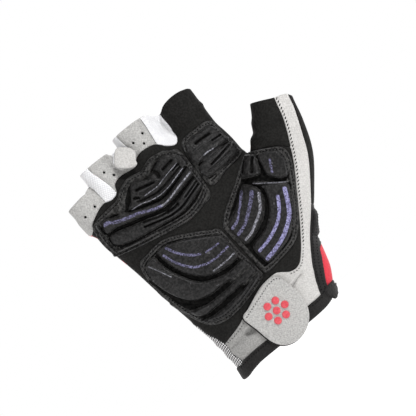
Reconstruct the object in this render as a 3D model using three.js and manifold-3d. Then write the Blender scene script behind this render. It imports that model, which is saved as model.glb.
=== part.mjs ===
// Cycling glove: a right-hand half-finger glove in the shape that it takes when worn
//
// The palm faces -Y, the fingers point along +Z and the thumb lies on +X.
// The origin is the centre of the wrist opening. All lengths are in millimetres.
// The glove is a hollow shell cut into sewn panels, each with its own wall.
// Patches, gel cushions, bindings and the strap are further layers over that shell.

import * as THREE from 'three';
import { mergeVertices } from 'three/addons/utils/BufferGeometryUtils.js';
import Module from 'manifold-3d';

const wasm = await Module();
wasm.setup();

// Driving dimensions

const GLOVE_LENGTH = 140;  // wrist opening to the hem of the middle finger
const PALM_WIDTH = 90;     // across the knuckles, without the thumb
const PALM_DEPTH = 29;     // palm to back of the hand at the knuckles

const LITTLE_WIDTH = 17.4;
const RING_WIDTH = 19;
const MIDDLE_WIDTH = 20.4;
const INDEX_WIDTH = 22;
const FINGER_DEPTH = 20;
const THUMB_WIDTH = 27;

const LEATHER = 1.2;       // wall of every sewn panel
const PATCH = 0.9;         // sewn patch under the gel cushions
const CUSHION = 2.1;       // height of a gel cushion over its patch
const STRAP = 1.8;         // thickness of the wrist strap
const BINDING_PROUD = 0.7; // binding tape over the outer face
const BINDING_INNER = 0.4; // binding tape inside the inner face
const LOOP_PROUD = 2.6;    // folded end of the side binding over the outer face
const TAB = 1.4;           // thickness of the finger pull tab
const TAB_PROUD = 1.0;     // outer face of the tab over the finger fronts
const DOT = 0.8;           // height of a grip dot
const DOT_SIZE = 4.2;      // diameter of a grip dot
const DOT_PITCH = 5.4;     // distance between grip dots
const VENT_SIZE = 1.4;     // punched hole in the finger fronts
const SEAM_GAP = 0.3;      // clearance between neighbouring pieces

const SQUARENESS = 2.5;    // exponent of the hand's rounded-box sections
const FINGER_SQUARENESS = 2.3;
const THUMB_SQUARENESS = 2.1;
const AROUND_PALM = 32;    // sides of a section
const AROUND_FINGER = 16;
const AROUND_THUMB = 18;
const AROUND_WEB = 8;
const REACH = 300;         // length of a cutting prism, past the whole glove

// Shares of the driving dimensions
//
// The tables hold x in ninetieths of the palm's width, z in 140ths of the glove's
// length, and y in 29ths of the palm's depth.

const across = PALM_WIDTH / 90;
const along = GLOVE_LENGTH / 140;
const deep = PALM_DEPTH / 29;

// Sections of the palm: height, then the reach to the left, right, front and back.
// The fold across the wrist is a section of its own, which the strap doesn't follow.

const PALM_SECTIONS = [
  { z: -14, left: 35.5, right: 29.5, front: 18.5, back: 18.5 },
  { z: 2, left: 34.6, right: 32.8, front: 18.5, back: 18.5 },
  { z: 7, left: 34.8, right: 35.2, front: 18.4, back: 18.4 },
  { z: 11.5, left: 35, right: 37.3, front: 16.9, back: 18.2, fold: true },
  { z: 16, left: 35.6, right: 39, front: 18, back: 18 },
  { z: 30, left: 38, right: 42.2, front: 17.5, back: 16.5 },
  { z: 45, left: 41, right: 42, front: 16, back: 15.5 },
  { z: 60, left: 44, right: 41.5, front: 14.6, back: 15 },
  { z: 75, left: 46.6, right: 41, front: 14.4, back: 14.5 },
  { z: 90, left: 50, right: 40, front: 15, back: 14 },
  { z: 101, left: 51.6, right: 39.4, front: 15, back: 14 },
  { z: 108, left: 54.4, right: 38, front: 14, back: 13 },
  { z: 114, left: 55, right: 34.6, front: 12.4, back: 11.4 },
  { z: 120.5, left: 49, right: 25, front: 9, back: 8 },
  { z: 124, left: 40, right: 16, front: 5, back: 5 },
];

// Fingers: where each tube starts inside the palm and where its hem is

const FINGERS = [
  { width: LITTLE_WIDTH, startX: -45.4, startZ: 107, hemX: -47.2, hemZ: 125.3 },
  { width: RING_WIDTH, startX: -27, startZ: 95, hemX: -29.4, hemZ: 136 },
  { width: MIDDLE_WIDTH, startX: -3, startZ: 95, hemX: -3.2, hemZ: 140.3 },
  { width: INDEX_WIDTH, startX: 26, startZ: 95, hemX: 26.5, hemZ: 138 },
];
const FINGER_LEAN = -3;    // forward lean of the fingers at the hem
const FINGER_RUN = 12;     // length of a tube past its hem

// Thumb: the axis from the wrist to past the hem, with widths as shares of THUMB_WIDTH

const THUMB_SECTIONS = [
  { x: 12, y: -3, z: 8, left: 0.6, right: 0.55, front: 0.5, back: 0.5 },
  { x: 22, y: -4.5, z: 25, left: 0.78, right: 0.55, front: 0.52, back: 0.5 },
  { x: 33, y: -6, z: 43, left: 0.9, right: 0.5, front: 0.53, back: 0.5 },
  { x: 44, y: -8, z: 60, left: 0.92, right: 0.57, front: 0.5, back: 0.5 },
  { x: 54.5, y: -10, z: 77, left: 0.68, right: 0.62, front: 0.47, back: 0.47 },
  { x: 62, y: -12, z: 92, left: 0.5, right: 0.545, front: 0.44, back: 0.44 },
  { x: 67.8, y: -13.5, z: 105, left: 0.42, right: 0.44, front: 0.4, back: 0.4 },
  { x: 74, y: -15, z: 119, left: 0.42, right: 0.44, front: 0.4, back: 0.4 },
];

// Web between thumb and index finger: a short tube across, from palm to thumb

const THUMB_WEB = [
  { x: 28, y: -3, z: 80, left: 11, right: 11, front: 9, back: 9 },
  { x: 42, y: -5, z: 80.5, left: 11, right: 11, front: 8, back: 8 },
  { x: 55, y: -9, z: 83, left: 11.5, right: 11, front: 7.5, back: 7.5 },
];

// Webs between the fingers: thin double sheets that close each crotch

const FINGER_WEBS = [
  { x: -35, topX: -38.4, half: 5, z: 108, topZ: 125.6 },
  { x: -15, topX: -17.3, half: 6.5, z: 108, topZ: 134 },
  { x: 11, topX: 11.4, half: 6.5, z: 108, topZ: 146 },
];
const WEB_HALF_DEPTH = 4;  // at the root of a web
const WEB_TOP_DEPTH = 1.3; // at the top of a web

// Seam between the front panels and the back, seen from the fingertips

const SIDE_SEAM = [
  [-90, -1], [-50, -1], [-44, 2.5], [13, 2.5], [24, 0], [35, 0], [50, -6], [80, -13], [110, -13],
];

// Outlines of the panels, seen from the palm side: pairs of x and z

const TRIM_TOP = [
  [-70, 122], [-57, 123.6], [-38.5, 126.4], [-38.5, 129], [-39.2, 135.3], [-18, 136.5], [-14, 139.8],
  [7, 140.4], [11, 138], [15.2, 135.4], [20, 137.8], [27, 138.8], [34, 138], [39, 135],
  [56.5, 110.5], [63, 107.6], [69.5, 104.6], [76, 102.5], [80, 99], [95, 92],
];
const CUFF_EDGE = [
  [-60, -9], [-35, -6.6], [-28, -4.8], [-20, -3.3], [0, -2.6], [20, -2], [27, -1], [31, 0.6],
  [36, 2.8], [60, 2.8],
];
const CUFF_SEAM = [
  [-60, 1], [-34.5, 1], [-29, 2.8], [-20, 3.7], [-12, 4], [5, 4.8], [16.5, 5], [25, 5.3],
  [31, 6.5], [36, 7], [60, 7],
];
const PALM_TOP = [
  [-70, 98], [-52.5, 106], [-50, 109.5], [-45, 112.5], [-38, 115.4], [-33, 114.3], [-28.5, 115.5],
  [-26, 120], [-20, 121.8], [-12, 121], [-9, 124], [-4, 125.2], [4, 124], [8, 120],
  [12.5, 117.3], [15.4, 120], [16, 126], [15.7, 131], [15.4, 150],
];
const LITTLE_SEAM = [[-36.4, 112], [-36.6, 118], [-38, 126.5], [-41, 131], [-41, 150]];
const RING_LEFT_SEAM = [[-27.8, 112], [-29, 121], [-31, 128], [-33, 135], [-33.5, 150]];
const RING_RIGHT_SEAM = [[-17, 119], [-20, 129], [-18.3, 134], [-17.5, 150]];
const MIDDLE_LEFT_SEAM = [[-9, 120], [-8.5, 127], [-9, 132], [-10.3, 139], [-11, 150]];
const MIDDLE_RIGHT_SEAM = [[4.6, 119], [5.8, 130], [6.3, 136], [6.6, 150]];
const THUMB_STRIP_INNER = [[73, 118], [69.5, 104.5], [66.5, 92], [62, 81], [60.6, 78]];
const PALM_BOTTOM = [
  [60.6, 78], [56, 69], [49, 57.5], [42, 46], [34, 34], [28, 27], [25, 25.2], [22, 25],
  [19, 26], [15.5, 28.5], [12, 29.7], [2, 28.5], [-10, 23.5], [-20, 19], [-31.5, 15.7],
];
const THUMB_BACK_EDGE = [
  [80, 112], [77.5, 100.5], [77, 96], [73, 84.5], [68, 72], [60, 60], [51.5, 47.5],
];
const BINDING_EDGE = [[51.5, 47.5], [47.5, 42.5], [40, 33.5], [32.5, 22], [27.5, 11.5], [25, 3]];
const RED_EDGE = [[31.5, 3], [33, 9], [36, 15], [39, 21], [41, 25.4], [48, 27], [60, 36]];
const THUMB_SEAM = [[39.6, 91], [46, 87.5], [54, 84], [60.6, 78]];
const INDEX_SIDE = [[39.6, 91], [41.5, 98], [41.5, 125]];
const MESH_SEAM = [
  [-50, 33], [-38.5, 33], [-36, 25], [-33, 20], [-31.5, 15.7], [-31.8, 12], [-31, 7], [-29, 1],
];
const BAND_SPLIT = [[3, 32], [2, 15], [3, 1]];
const THUMB_BACK_SEAM = [[40.5, 96], [43, 78], [46, 60], [50, 46], [56, 38]];
const LOOP_OUTLINE = [[43, 33], [42.5, 39], [46, 43], [50.5, 45.5], [56, 43], [56, 36], [49, 32.5]];
const STRAP_OUTLINE = [
  [-15, 21], [-10, 23.3], [-5, 25.6], [2, 28], [8, 29.2], [12, 28.6], [14.5, 24], [16.4, 16],
  [16.2, 8], [14.5, 2.5], [11, -2], [6, -5], [1, -6], [-4, -5], [-8, -2.3], [-11, 3], [-13, 12],
];
const TAB_OUTLINE = [
  [-14.6, 134.6], [-12.8, 134.6], [-7.2, 129], [-7, 127], [-10.3, 121.6], [-12.2, 121.4],
  [-19.8, 126.6], [-19.9, 128.4],
];
const DOT_CENTRE = [1.5, 13.5];
const VENTS = [
  [-50, 115.5], [-42, 117], [-27, 128.5], [-23.5, 124.3], [-5, 131.5], [2.5, 132.7], [-0.3, 127.8],
];

// Pads: the outline of each sewn patch and of the gel cushions on it

const PADS = [
  {
    name: 'finger_pad',
    patch: [
      [-49.5, 109], [-50, 100], [-49, 91.5], [-47, 88.3], [-30, 84], [-12, 80.8], [-4, 80.2],
      [4, 82], [12, 86], [12.6, 112], [8, 115.6], [2, 119], [-4, 119.6], [-11, 117],
      [-18, 118], [-25, 116.5], [-30, 112.6], [-37, 111.6],
    ],
    cushions: [
      ['upper', [
        [-24, 105.5], [-20, 111], [-12, 108.5], [-4, 112], [6, 111], [9, 105], [-4, 101],
        [-13, 100.2],
      ]],
      ['wave', [
        [-44.5, 107.5], [-38, 106.5], [-28, 103.6], [-14, 98.8], [-6, 99], [9.5, 103.4],
        [10, 98.4], [-4, 93.8], [-13, 93.2], [-22, 96.6], [-38, 100.8], [-45, 101],
      ]],
      ['lower', [
        [-45, 99], [-38, 99], [-22, 94.8], [-12, 91.4], [-4, 92], [10, 96.4], [11, 91],
        [-2, 86], [-14, 86.4], [-42, 91],
      ]],
    ],
  },
  {
    name: 'index_pad',
    patch: [
      [14, 111], [17, 116.4], [25, 117.4], [35, 116], [36.6, 104], [38.4, 97], [37.4, 91.4],
      [28, 90], [14, 88.4],
    ],
    cushions: [
      ['upper', [
        [16, 101.6], [15.4, 111], [19, 114], [27, 114.6], [33, 113.6], [34.6, 106], [35.4, 102],
      ]],
      ['lower', [[16.4, 92], [16, 99.8], [35.4, 100.2], [36.6, 95], [35.6, 93]]],
    ],
  },
  {
    name: 'thenar_pad',
    patch: [
      [6.2, 67], [15, 74.6], [25, 80.8], [33, 86.2], [38.6, 88.6], [44, 87.4], [52, 84.4],
      [57, 80.6], [57.2, 74], [52, 63.4], [45, 51.6], [37, 41], [30, 36.2], [18, 33.6],
      [9, 33], [7.6, 42], [6.6, 54],
    ],
    cushions: [
      ['upper_left', [[31, 79.6], [36, 84.6], [40.6, 86.6], [43, 84.6], [40, 78.6], [37, 75.2], [33, 77]]],
      ['upper_right', [
        [44.4, 84.6], [51, 83.2], [55, 79.2], [54, 72.6], [50.4, 67.4], [46, 68.6], [42.4, 74],
        [42.4, 78.6],
      ]],
      ['inner', [
        [8.6, 65], [18, 70.6], [27.6, 77], [31, 75.6], [34, 71], [33, 64.6], [28, 58],
        [20, 53], [12, 50.6], [9.4, 54],
      ]],
      ['outer', [
        [36.4, 70.4], [46.6, 65.4], [46, 59], [40.4, 49], [34, 42.6], [25, 38.4], [14.6, 36.4],
        [12.4, 40.6], [12.2, 47], [22, 49.6], [30, 55], [35, 62],
      ]],
    ],
  },
  {
    name: 'heel_pad',
    patch: [
      [-42.4, 77], [-36, 79.4], [-26, 80.6], [-19, 79], [-10, 74.6], [0, 69], [4, 65.6],
      [5.2, 50], [7.2, 38], [7.4, 33], [3, 30.4], [-10, 26.8], [-22, 25.4], [-31, 28.4],
      [-37, 38], [-41, 50], [-43.4, 62],
    ],
    cushions: [
      ['almond', [
        [-30.4, 76.6], [-25, 77.4], [-14, 73.6], [-4, 67.8], [2, 64], [3.4, 56], [3, 48.6],
        [-5, 47.6], [-14, 49], [-21, 53.6], [-26.4, 61], [-29.6, 69],
      ]],
      ['arc', [
        [-38.6, 75.6], [-33, 76], [-31.6, 69], [-28, 60], [-22, 51], [-14, 46.8], [-5, 45.4],
        [3.6, 46], [4.4, 41.6], [-10, 41.4], [-22, 41.2], [-29.6, 43.6], [-36, 51], [-40, 61],
        [-41.4, 70],
      ]],
      ['ridge', [
        [-34.4, 41], [-30, 39.6], [-22, 38.4], [4.6, 39.6], [5, 36.6], [-12, 35], [-27, 34],
        [-33, 36.4],
      ]],
      ['edge', [
        [-33.4, 33.6], [-29, 32.2], [-20, 31.8], [-6, 33], [6, 34.8], [5, 31.8], [-10, 28.4],
        [-22, 27.4], [-29.4, 29.4],
      ]],
    ],
  },
];

// Colours of the materials

const COLOURS = {
  blackLeather: { color: 0x1d1c1d, roughness: 0.62, metalness: 0 },
  blackTape: { color: 0x18171a, roughness: 0.8, metalness: 0 },
  greySuede: { color: 0xbdbab6, roughness: 0.95, metalness: 0 },
  paleSuede: { color: 0xd9d6d2, roughness: 0.95, metalness: 0 },
  whiteMesh: { color: 0xeeeef2, roughness: 0.9, metalness: 0 },
  greyMesh: { color: 0x8a8a8c, roughness: 0.9, metalness: 0 },
  redCloth: { color: 0xc8202c, roughness: 0.85, metalness: 0 },
  redRubber: { color: 0xd8414f, roughness: 0.6, metalness: 0 },
  gel: { color: 0x262528, roughness: 0.45, metalness: 0 },
};

// Lofts and prisms

/** A solid from a closed three.js geometry. */
function solidFrom(geometry) {
  geometry.deleteAttribute('normal');
  geometry.deleteAttribute('uv');
  const merged = mergeVertices(geometry, 1e-4);
  return new wasm.Manifold(new wasm.Mesh({
    numProp: 3,
    vertProperties: new Float32Array(merged.attributes.position.array),
    triVerts: new Uint32Array(merged.index.array),
  }));
}

/** One point of a rounded-box section: unequal reaches on its four sides. */
function sectionPoint(section, angle, squareness) {
  const power = 2 / squareness;
  const cosine = Math.cos(angle);
  const sine = Math.sin(angle);
  const sideways = Math.sign(cosine) * Math.abs(cosine) ** power;
  const backwards = Math.sign(sine) * Math.abs(sine) ** power;
  const reach = sideways * (sideways > 0 ? section.right : section.left);
  return new THREE.Vector3(
    section.x + section.side.x * reach,
    section.y + backwards * (backwards > 0 ? section.back : section.front),
    section.z + section.side.z * reach,
  );
}

/** A closed tube through the sections, in order along its axis. */
function loft(sections, count, squareness) {
  const points = sections.map((section) => Array.from({ length: count }, (_, step) => (
    sectionPoint(section, (2 * Math.PI * step) / count, squareness)
  ))).flat();
  const faces = [];
  for (let row = 0; row + 1 < sections.length; row += 1) {
    for (let step = 0; step < count; step += 1) {
      const next = (step + 1) % count;
      const [a, b] = [row * count + step, row * count + next];
      faces.push(a, b, b + count, a, b + count, a + count);
    }
  }
  const top = (sections.length - 1) * count;
  for (let step = 1; step + 1 < count; step += 1) {
    faces.push(0, step + 1, step, top, top + step, top + step + 1);
  }
  const geometry = new THREE.BufferGeometry();
  const positions = points.flatMap((point) => point.toArray());
  geometry.setAttribute('position', new THREE.Float32BufferAttribute(positions, 3));
  geometry.setIndex(faces);
  return solidFrom(geometry);
}

/** Sections with the sideways direction square to the axis in the plane of the hand. */
function alongAxis(stations) {
  return stations.map((station, index) => {
    const before = stations[Math.max(index - 1, 0)];
    const after = stations[Math.min(index + 1, stations.length - 1)];
    const axis = new THREE.Vector2(after.x - before.x, after.z - before.z).normalize();
    return { ...station, side: { x: axis.y, z: -axis.x } };
  });
}

/** A prism along Y over an outline of x and z in millimetres. */
function prism(outline) {
  const shape = new THREE.Shape(outline.map(([x, z]) => new THREE.Vector2(x, z)));
  const geometry = new THREE.ExtrudeGeometry(shape, { depth: REACH, bevelEnabled: false });
  geometry.rotateX(Math.PI / 2);
  geometry.translate(0, REACH / 2, 0);
  return solidFrom(geometry);
}

/** The same over an outline in shares of the palm's width and the glove's length. */
function panelPrism(outline) {
  return prism(outline.map(([x, z]) => [x * across, z * along]));
}

/** A narrow prism along a seam line: what it removes is the gap between two panels. */
function seamCut(line) {
  const path = line.map(([x, z]) => new THREE.Vector2(x * across, z * along));
  const sides = path.map((point, index) => {
    const before = path[Math.max(index - 1, 0)];
    const after = path[Math.min(index + 1, path.length - 1)];
    const heading = after.clone().sub(before).normalize();
    return new THREE.Vector2(-heading.y, heading.x).multiplyScalar(SEAM_GAP / 2);
  });
  const leftSide = path.map((point, index) => point.clone().add(sides[index]));
  const rightSide = path.map((point, index) => point.clone().sub(sides[index])).reverse();
  return prism([...leftSide, ...rightSide].map((point) => [point.x, point.y]));
}

/** Everything in front of the side seam, moved back by a shift. */
function frontOfSeam(shift) {
  const seam = SIDE_SEAM.map(([x, y]) => new THREE.Vector2(x * across, y * deep + shift));
  const shape = new THREE.Shape([
    new THREE.Vector2(-REACH / 2, -REACH / 2),
    new THREE.Vector2(REACH / 2, -REACH / 2),
    new THREE.Vector2(REACH / 2, seam.at(-1).y),
    ...seam.toReversed(),
    new THREE.Vector2(-REACH / 2, seam[0].y),
  ]);
  const geometry = new THREE.ExtrudeGeometry(shape, { depth: 2 * REACH, bevelEnabled: false });
  geometry.translate(0, 0, -REACH);
  return solidFrom(geometry);
}

// The hand-shaped form, grown outwards by a thickness

function palmForm(grow, folded) {
  const rows = PALM_SECTIONS.filter((row) => folded || !row.fold);
  const sections = rows.map((row) => ({
    x: 0,
    y: 0,
    z: row.z * along + (row === PALM_SECTIONS.at(-1) ? grow : 0),
    left: row.left * across + grow,
    right: row.right * across + grow,
    front: row.front * deep + grow,
    back: row.back * deep + grow,
    side: { x: 1, z: 0 },
  }));
  return loft(sections, AROUND_PALM, SQUARENESS);
}

function fingerForm(finger, grow) {
  const half = finger.width / 2 + grow;
  const depth = FINGER_DEPTH / 2 + grow;
  const runShare = 1 + FINGER_RUN / ((finger.hemZ - finger.startZ) * along);
  const sections = [0, 1, runShare].map((share) => ({
    x: THREE.MathUtils.lerp(finger.startX, finger.hemX, share) * across,
    y: FINGER_LEAN * deep * share,
    z: THREE.MathUtils.lerp(finger.startZ, finger.hemZ, share) * along,
    left: half,
    right: half,
    front: depth,
    back: depth,
    side: { x: 1, z: 0 },
  }));
  return loft(sections, AROUND_FINGER, FINGER_SQUARENESS);
}

function thumbForm(grow) {
  const stations = THUMB_SECTIONS.map((row) => ({
    x: row.x * across,
    y: row.y * deep,
    z: row.z * along,
    left: row.left * THUMB_WIDTH + grow,
    right: row.right * THUMB_WIDTH + grow,
    front: row.front * THUMB_WIDTH + grow,
    back: row.back * THUMB_WIDTH + grow,
  }));
  return loft(alongAxis(stations), AROUND_THUMB, THUMB_SQUARENESS);
}

function thumbWebForm(grow) {
  const stations = THUMB_WEB.map((row) => ({
    x: row.x * across,
    y: row.y * deep,
    z: row.z * along,
    left: row.left * along + grow,
    right: row.right * along + grow,
    front: row.front * deep + grow,
    back: row.back * deep + grow,
  }));
  return loft(alongAxis(stations), AROUND_FINGER, FINGER_SQUARENESS);
}

function fingerWebForm(web, grow) {
  const sections = [0, 1].map((share) => ({
    x: THREE.MathUtils.lerp(web.x, web.topX, share) * across,
    y: FINGER_LEAN * deep * share,
    z: THREE.MathUtils.lerp(web.z, web.topZ, share) * along,
    left: web.half * across + grow,
    right: web.half * across + grow,
    front: THREE.MathUtils.lerp(WEB_HALF_DEPTH, WEB_TOP_DEPTH, share) + grow,
    back: THREE.MathUtils.lerp(WEB_HALF_DEPTH, WEB_TOP_DEPTH, share) + grow,
    side: { x: 1, z: 0 },
  }));
  return loft(sections, AROUND_WEB, FINGER_SQUARENESS);
}

/** The inner forms have no finger webs, so each web is one double sheet. */
function form(grow, folded = true) {
  const parts = [palmForm(grow, folded), thumbForm(grow), thumbWebForm(grow)];
  FINGERS.forEach((finger) => parts.push(fingerForm(finger, grow)));
  if (grow >= 0) {
    FINGER_WEBS.forEach((web) => parts.push(fingerWebForm(web, grow)));
  }
  return parts.reduce((whole, piece) => whole.add(piece));
}

/** The layer of the glove between two thicknesses. */
function layer(inner, outer, folded = true) {
  return form(outer, folded).subtract(form(inner, folded));
}

// Regions, as cutting prisms

const aboveCuff = panelPrism([...TRIM_TOP, ...CUFF_SEAM.toReversed()]);
const cuffCut = seamCut(CUFF_SEAM);
const backEdgeLine = [...RED_EDGE, ...THUMB_BACK_EDGE.toReversed()];
const backEdge = panelPrism([...backEdgeLine, [120, 112], [120, 0]]);
const frontRegion = frontOfSeam(-SEAM_GAP / 2).subtract(backEdge).subtract(seamCut(backEdgeLine));
const notBackRegion = frontOfSeam(SEAM_GAP / 2).subtract(backEdge).add(
  frontOfSeam(SEAM_GAP / 2).intersect(seamCut(backEdgeLine)),
);

// Pieces

const glove = new THREE.Group();

/** Add a solid as a named mesh. */
function add(name, solid, material) {
  const mesh = solid.getMesh();
  const geometry = new THREE.BufferGeometry();
  const positions = new Float32Array(mesh.vertProperties);
  geometry.setAttribute('position', new THREE.BufferAttribute(positions, 3));
  geometry.setIndex(new THREE.BufferAttribute(new Uint32Array(mesh.triVerts), 1));
  geometry.computeVertexNormals();
  const piece = new THREE.Mesh(geometry, new THREE.MeshStandardMaterial(COLOURS[material]));
  piece.name = name;
  glove.add(piece);
}

/** Take a region out of a sheet: returns the piece and what is left. */
function take(sheet, region) {
  return [sheet.intersect(region), sheet.subtract(region)];
}

function addShell() {
  const shell = layer(-LEATHER, 0).intersect(aboveCuff).subtract(cuffCut);
  const meshRegion = panelPrism([...MESH_SEAM, [-80, 1], [-80, 33]]);
  const [sideMesh, body] = take(shell, meshRegion);
  add('side_mesh', sideMesh, 'greyMesh');
  addBack(body.subtract(seamCut(MESH_SEAM)).subtract(notBackRegion));
  addFront(body.subtract(seamCut(MESH_SEAM)).intersect(frontRegion));
}

function addBack(sheet) {
  const thumbRegion = panelPrism([...THUMB_BACK_SEAM, [120, 38], [120, 130], [44, 130]]);
  const [thumbBack, backPanel] = take(sheet.subtract(seamCut(THUMB_BACK_SEAM)), thumbRegion);
  add('thumb_back', thumbBack, 'blackLeather');
  add('back_panel', backPanel, 'redCloth');
}

function addFront(sheet) {
  const seams = [
    PALM_TOP, LITTLE_SEAM, RING_LEFT_SEAM, RING_RIGHT_SEAM, MIDDLE_LEFT_SEAM, MIDDLE_RIGHT_SEAM,
    THUMB_STRIP_INNER, PALM_BOTTOM, BINDING_EDGE, THUMB_SEAM, INDEX_SIDE,
  ];
  const cut = seams.reduce((rest, line) => rest.subtract(seamCut(line)), sheet);
  const palmRegion = panelPrism([
    ...PALM_TOP, [41.5, 150], [41.5, 98], ...THUMB_SEAM, ...PALM_BOTTOM.slice(1), [-33, 20],
    [-36, 25], [-38.5, 33], [-80, 33],
  ]);
  const thumbRegion = panelPrism([
    ...THUMB_SEAM, ...THUMB_STRIP_INNER.toReversed().slice(1), [41.5, 125], [41.5, 98],
  ]);
  const [palm, withoutPalm] = take(cut, palmRegion);
  const [thumb, withoutThumb] = take(withoutPalm, thumbRegion);
  add('palm_panel', palm, 'blackLeather');
  add('thumb_stall', thumb, 'blackLeather');

  const [upper, lower] = take(withoutThumb, panelPrism([[-80, 96], [-80, 160], [35, 160], [35, 100]]));
  addStalls(upper);
  addWrist(lower);
}

function addStalls(sheet) {
  const vents = VENTS.reduce((rest, [x, z]) => rest.subtract(ventCut(x * across, z * along)), sheet);
  const rightOf = (line) => panelPrism([...line, [60, 150], [60, 105]]);
  const columns = [
    ['little_stall', LITTLE_SEAM, 'greySuede'],
    ['gusset_ring_little', RING_LEFT_SEAM, 'whiteMesh'],
    ['ring_stall', RING_RIGHT_SEAM, 'greySuede'],
    ['gusset_middle_ring', MIDDLE_LEFT_SEAM, 'whiteMesh'],
    ['middle_stall', MIDDLE_RIGHT_SEAM, 'greySuede'],
  ];
  let rest = vents;
  columns.forEach(([name, rightSeam, material]) => {
    const [others, piece] = take(rest, rightOf(rightSeam));
    add(name, piece, material);
    rest = others;
  });
  add('gusset_index_middle', rest, 'whiteMesh');
}

function ventCut(x, z) {
  const sides = 6;
  return prism(Array.from({ length: sides }, (_, step) => {
    const angle = (2 * Math.PI * step) / sides;
    return [x + (VENT_SIZE / 2) * Math.cos(angle), z + (VENT_SIZE / 2) * Math.sin(angle)];
  }));
}

function addWrist(sheet) {
  const withoutBinding = sheet.subtract(panelPrism([...BINDING_EDGE, [70, 3], [70, 44]]));
  const [strip, band] = take(
    withoutBinding.subtract(seamCut(BAND_SPLIT)),
    panelPrism([...BAND_SPLIT, [120, 1], [120, 130], [60, 130], [20, 60]]),
  );
  add('thumb_strip', strip, 'paleSuede');
  add('wrist_band', band, 'greySuede');
}

function addBindings() {
  const tape = layer(-LEATHER - BINDING_INNER, BINDING_PROUD);
  const cuff = tape.intersect(panelPrism([...CUFF_EDGE, ...CUFF_SEAM.toReversed()])).subtract(cuffCut);
  add('cuff_binding', cuff, 'blackTape');
  const besideStrip = panelPrism([...BINDING_EDGE, [70, 3], [70, 44]]);
  const loop = layer(BINDING_PROUD - LEATHER, LOOP_PROUD).intersect(panelPrism(LOOP_OUTLINE));
  const side = tape.add(loop)
    .intersect(aboveCuff)
    .intersect(frontRegion)
    .intersect(besideStrip)
    .subtract(cuffCut)
    .subtract(seamCut(BINDING_EDGE));
  add('side_binding', side, 'blackTape');
}

function addPads() {
  const patchInner = SEAM_GAP;
  const patchOuter = patchInner + PATCH;
  const cushionInner = patchOuter + SEAM_GAP;
  const patchLayer = layer(patchInner, patchOuter).intersect(frontRegion);
  const cushionLayer = layer(cushionInner, cushionInner + CUSHION).intersect(frontRegion);
  PADS.forEach((pad) => {
    add(`${pad.name}_patch`, patchLayer.intersect(panelPrism(pad.patch)), 'blackLeather');
    pad.cushions.forEach(([name, outline]) => {
      add(`${pad.name}_cushion_${name}`, cushionLayer.intersect(panelPrism(outline)), 'gel');
    });
  });
}

function addStrap() {
  const strapInner = BINDING_PROUD + SEAM_GAP;
  const strapOuter = strapInner + STRAP;
  const front = frontOfSeam(0);
  const strap = layer(strapInner, strapOuter, false).intersect(front).intersect(panelPrism(STRAP_OUTLINE));
  add('closure_strap', strap, 'greySuede');

  const dotInner = strapOuter + SEAM_GAP;
  const dots = layer(dotInner, dotInner + DOT, false).intersect(front);
  const places = [[0, 0], ...Array.from({ length: 6 }, (_, step) => {
    const angle = (Math.PI * step) / 3;
    return [DOT_PITCH * Math.cos(angle), DOT_PITCH * Math.sin(angle)];
  })];
  places.forEach(([x, z], index) => {
    const sides = 10;
    const outline = Array.from({ length: sides }, (_, step) => {
      const angle = (2 * Math.PI * step) / sides;
      return [
        DOT_CENTRE[0] * across + x + (DOT_SIZE / 2) * Math.cos(angle),
        DOT_CENTRE[1] * along + z + (DOT_SIZE / 2) * Math.sin(angle),
      ];
    });
    add(`grip_dot_${index + 1}`, dots.intersect(prism(outline)), 'redRubber');
  });
}

function addTab() {
  const face = (FINGER_LEAN - FINGER_DEPTH / 2) - TAB_PROUD;
  const slab = panelPrism(TAB_OUTLINE).intersect(slabBetween(face, face + TAB));
  add('web_tab', slab.subtract(form(SEAM_GAP)), 'greySuede');
}

/** Everything between two depths. */
function slabBetween(front, back) {
  const geometry = new THREE.BoxGeometry(REACH, back - front, 2 * REACH);
  geometry.translate(0, (front + back) / 2, 0);
  return solidFrom(geometry);
}

addShell();
addBindings();
addPads();
addStrap();
addTab();

export default glove;
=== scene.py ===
import math

import bpy
import numpy as np
from mathutils import Matrix, Vector
from mathutils.bvhtree import BVHTree
from mathutils.kdtree import KDTree


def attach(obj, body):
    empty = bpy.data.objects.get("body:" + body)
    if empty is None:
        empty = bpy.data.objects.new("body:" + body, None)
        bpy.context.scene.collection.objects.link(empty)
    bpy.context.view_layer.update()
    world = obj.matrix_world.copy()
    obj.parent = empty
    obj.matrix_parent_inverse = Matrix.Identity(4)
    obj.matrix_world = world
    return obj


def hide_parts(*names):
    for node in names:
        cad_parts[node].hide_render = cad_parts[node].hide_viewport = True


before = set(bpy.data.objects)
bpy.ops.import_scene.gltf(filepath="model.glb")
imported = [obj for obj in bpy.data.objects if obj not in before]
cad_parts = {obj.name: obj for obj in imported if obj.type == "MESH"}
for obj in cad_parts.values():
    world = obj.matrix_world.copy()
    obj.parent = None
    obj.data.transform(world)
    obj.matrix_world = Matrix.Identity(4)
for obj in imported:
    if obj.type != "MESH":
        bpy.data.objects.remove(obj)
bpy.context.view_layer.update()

MM = 0.001

# Sizes of the glove, in millimetres

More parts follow.
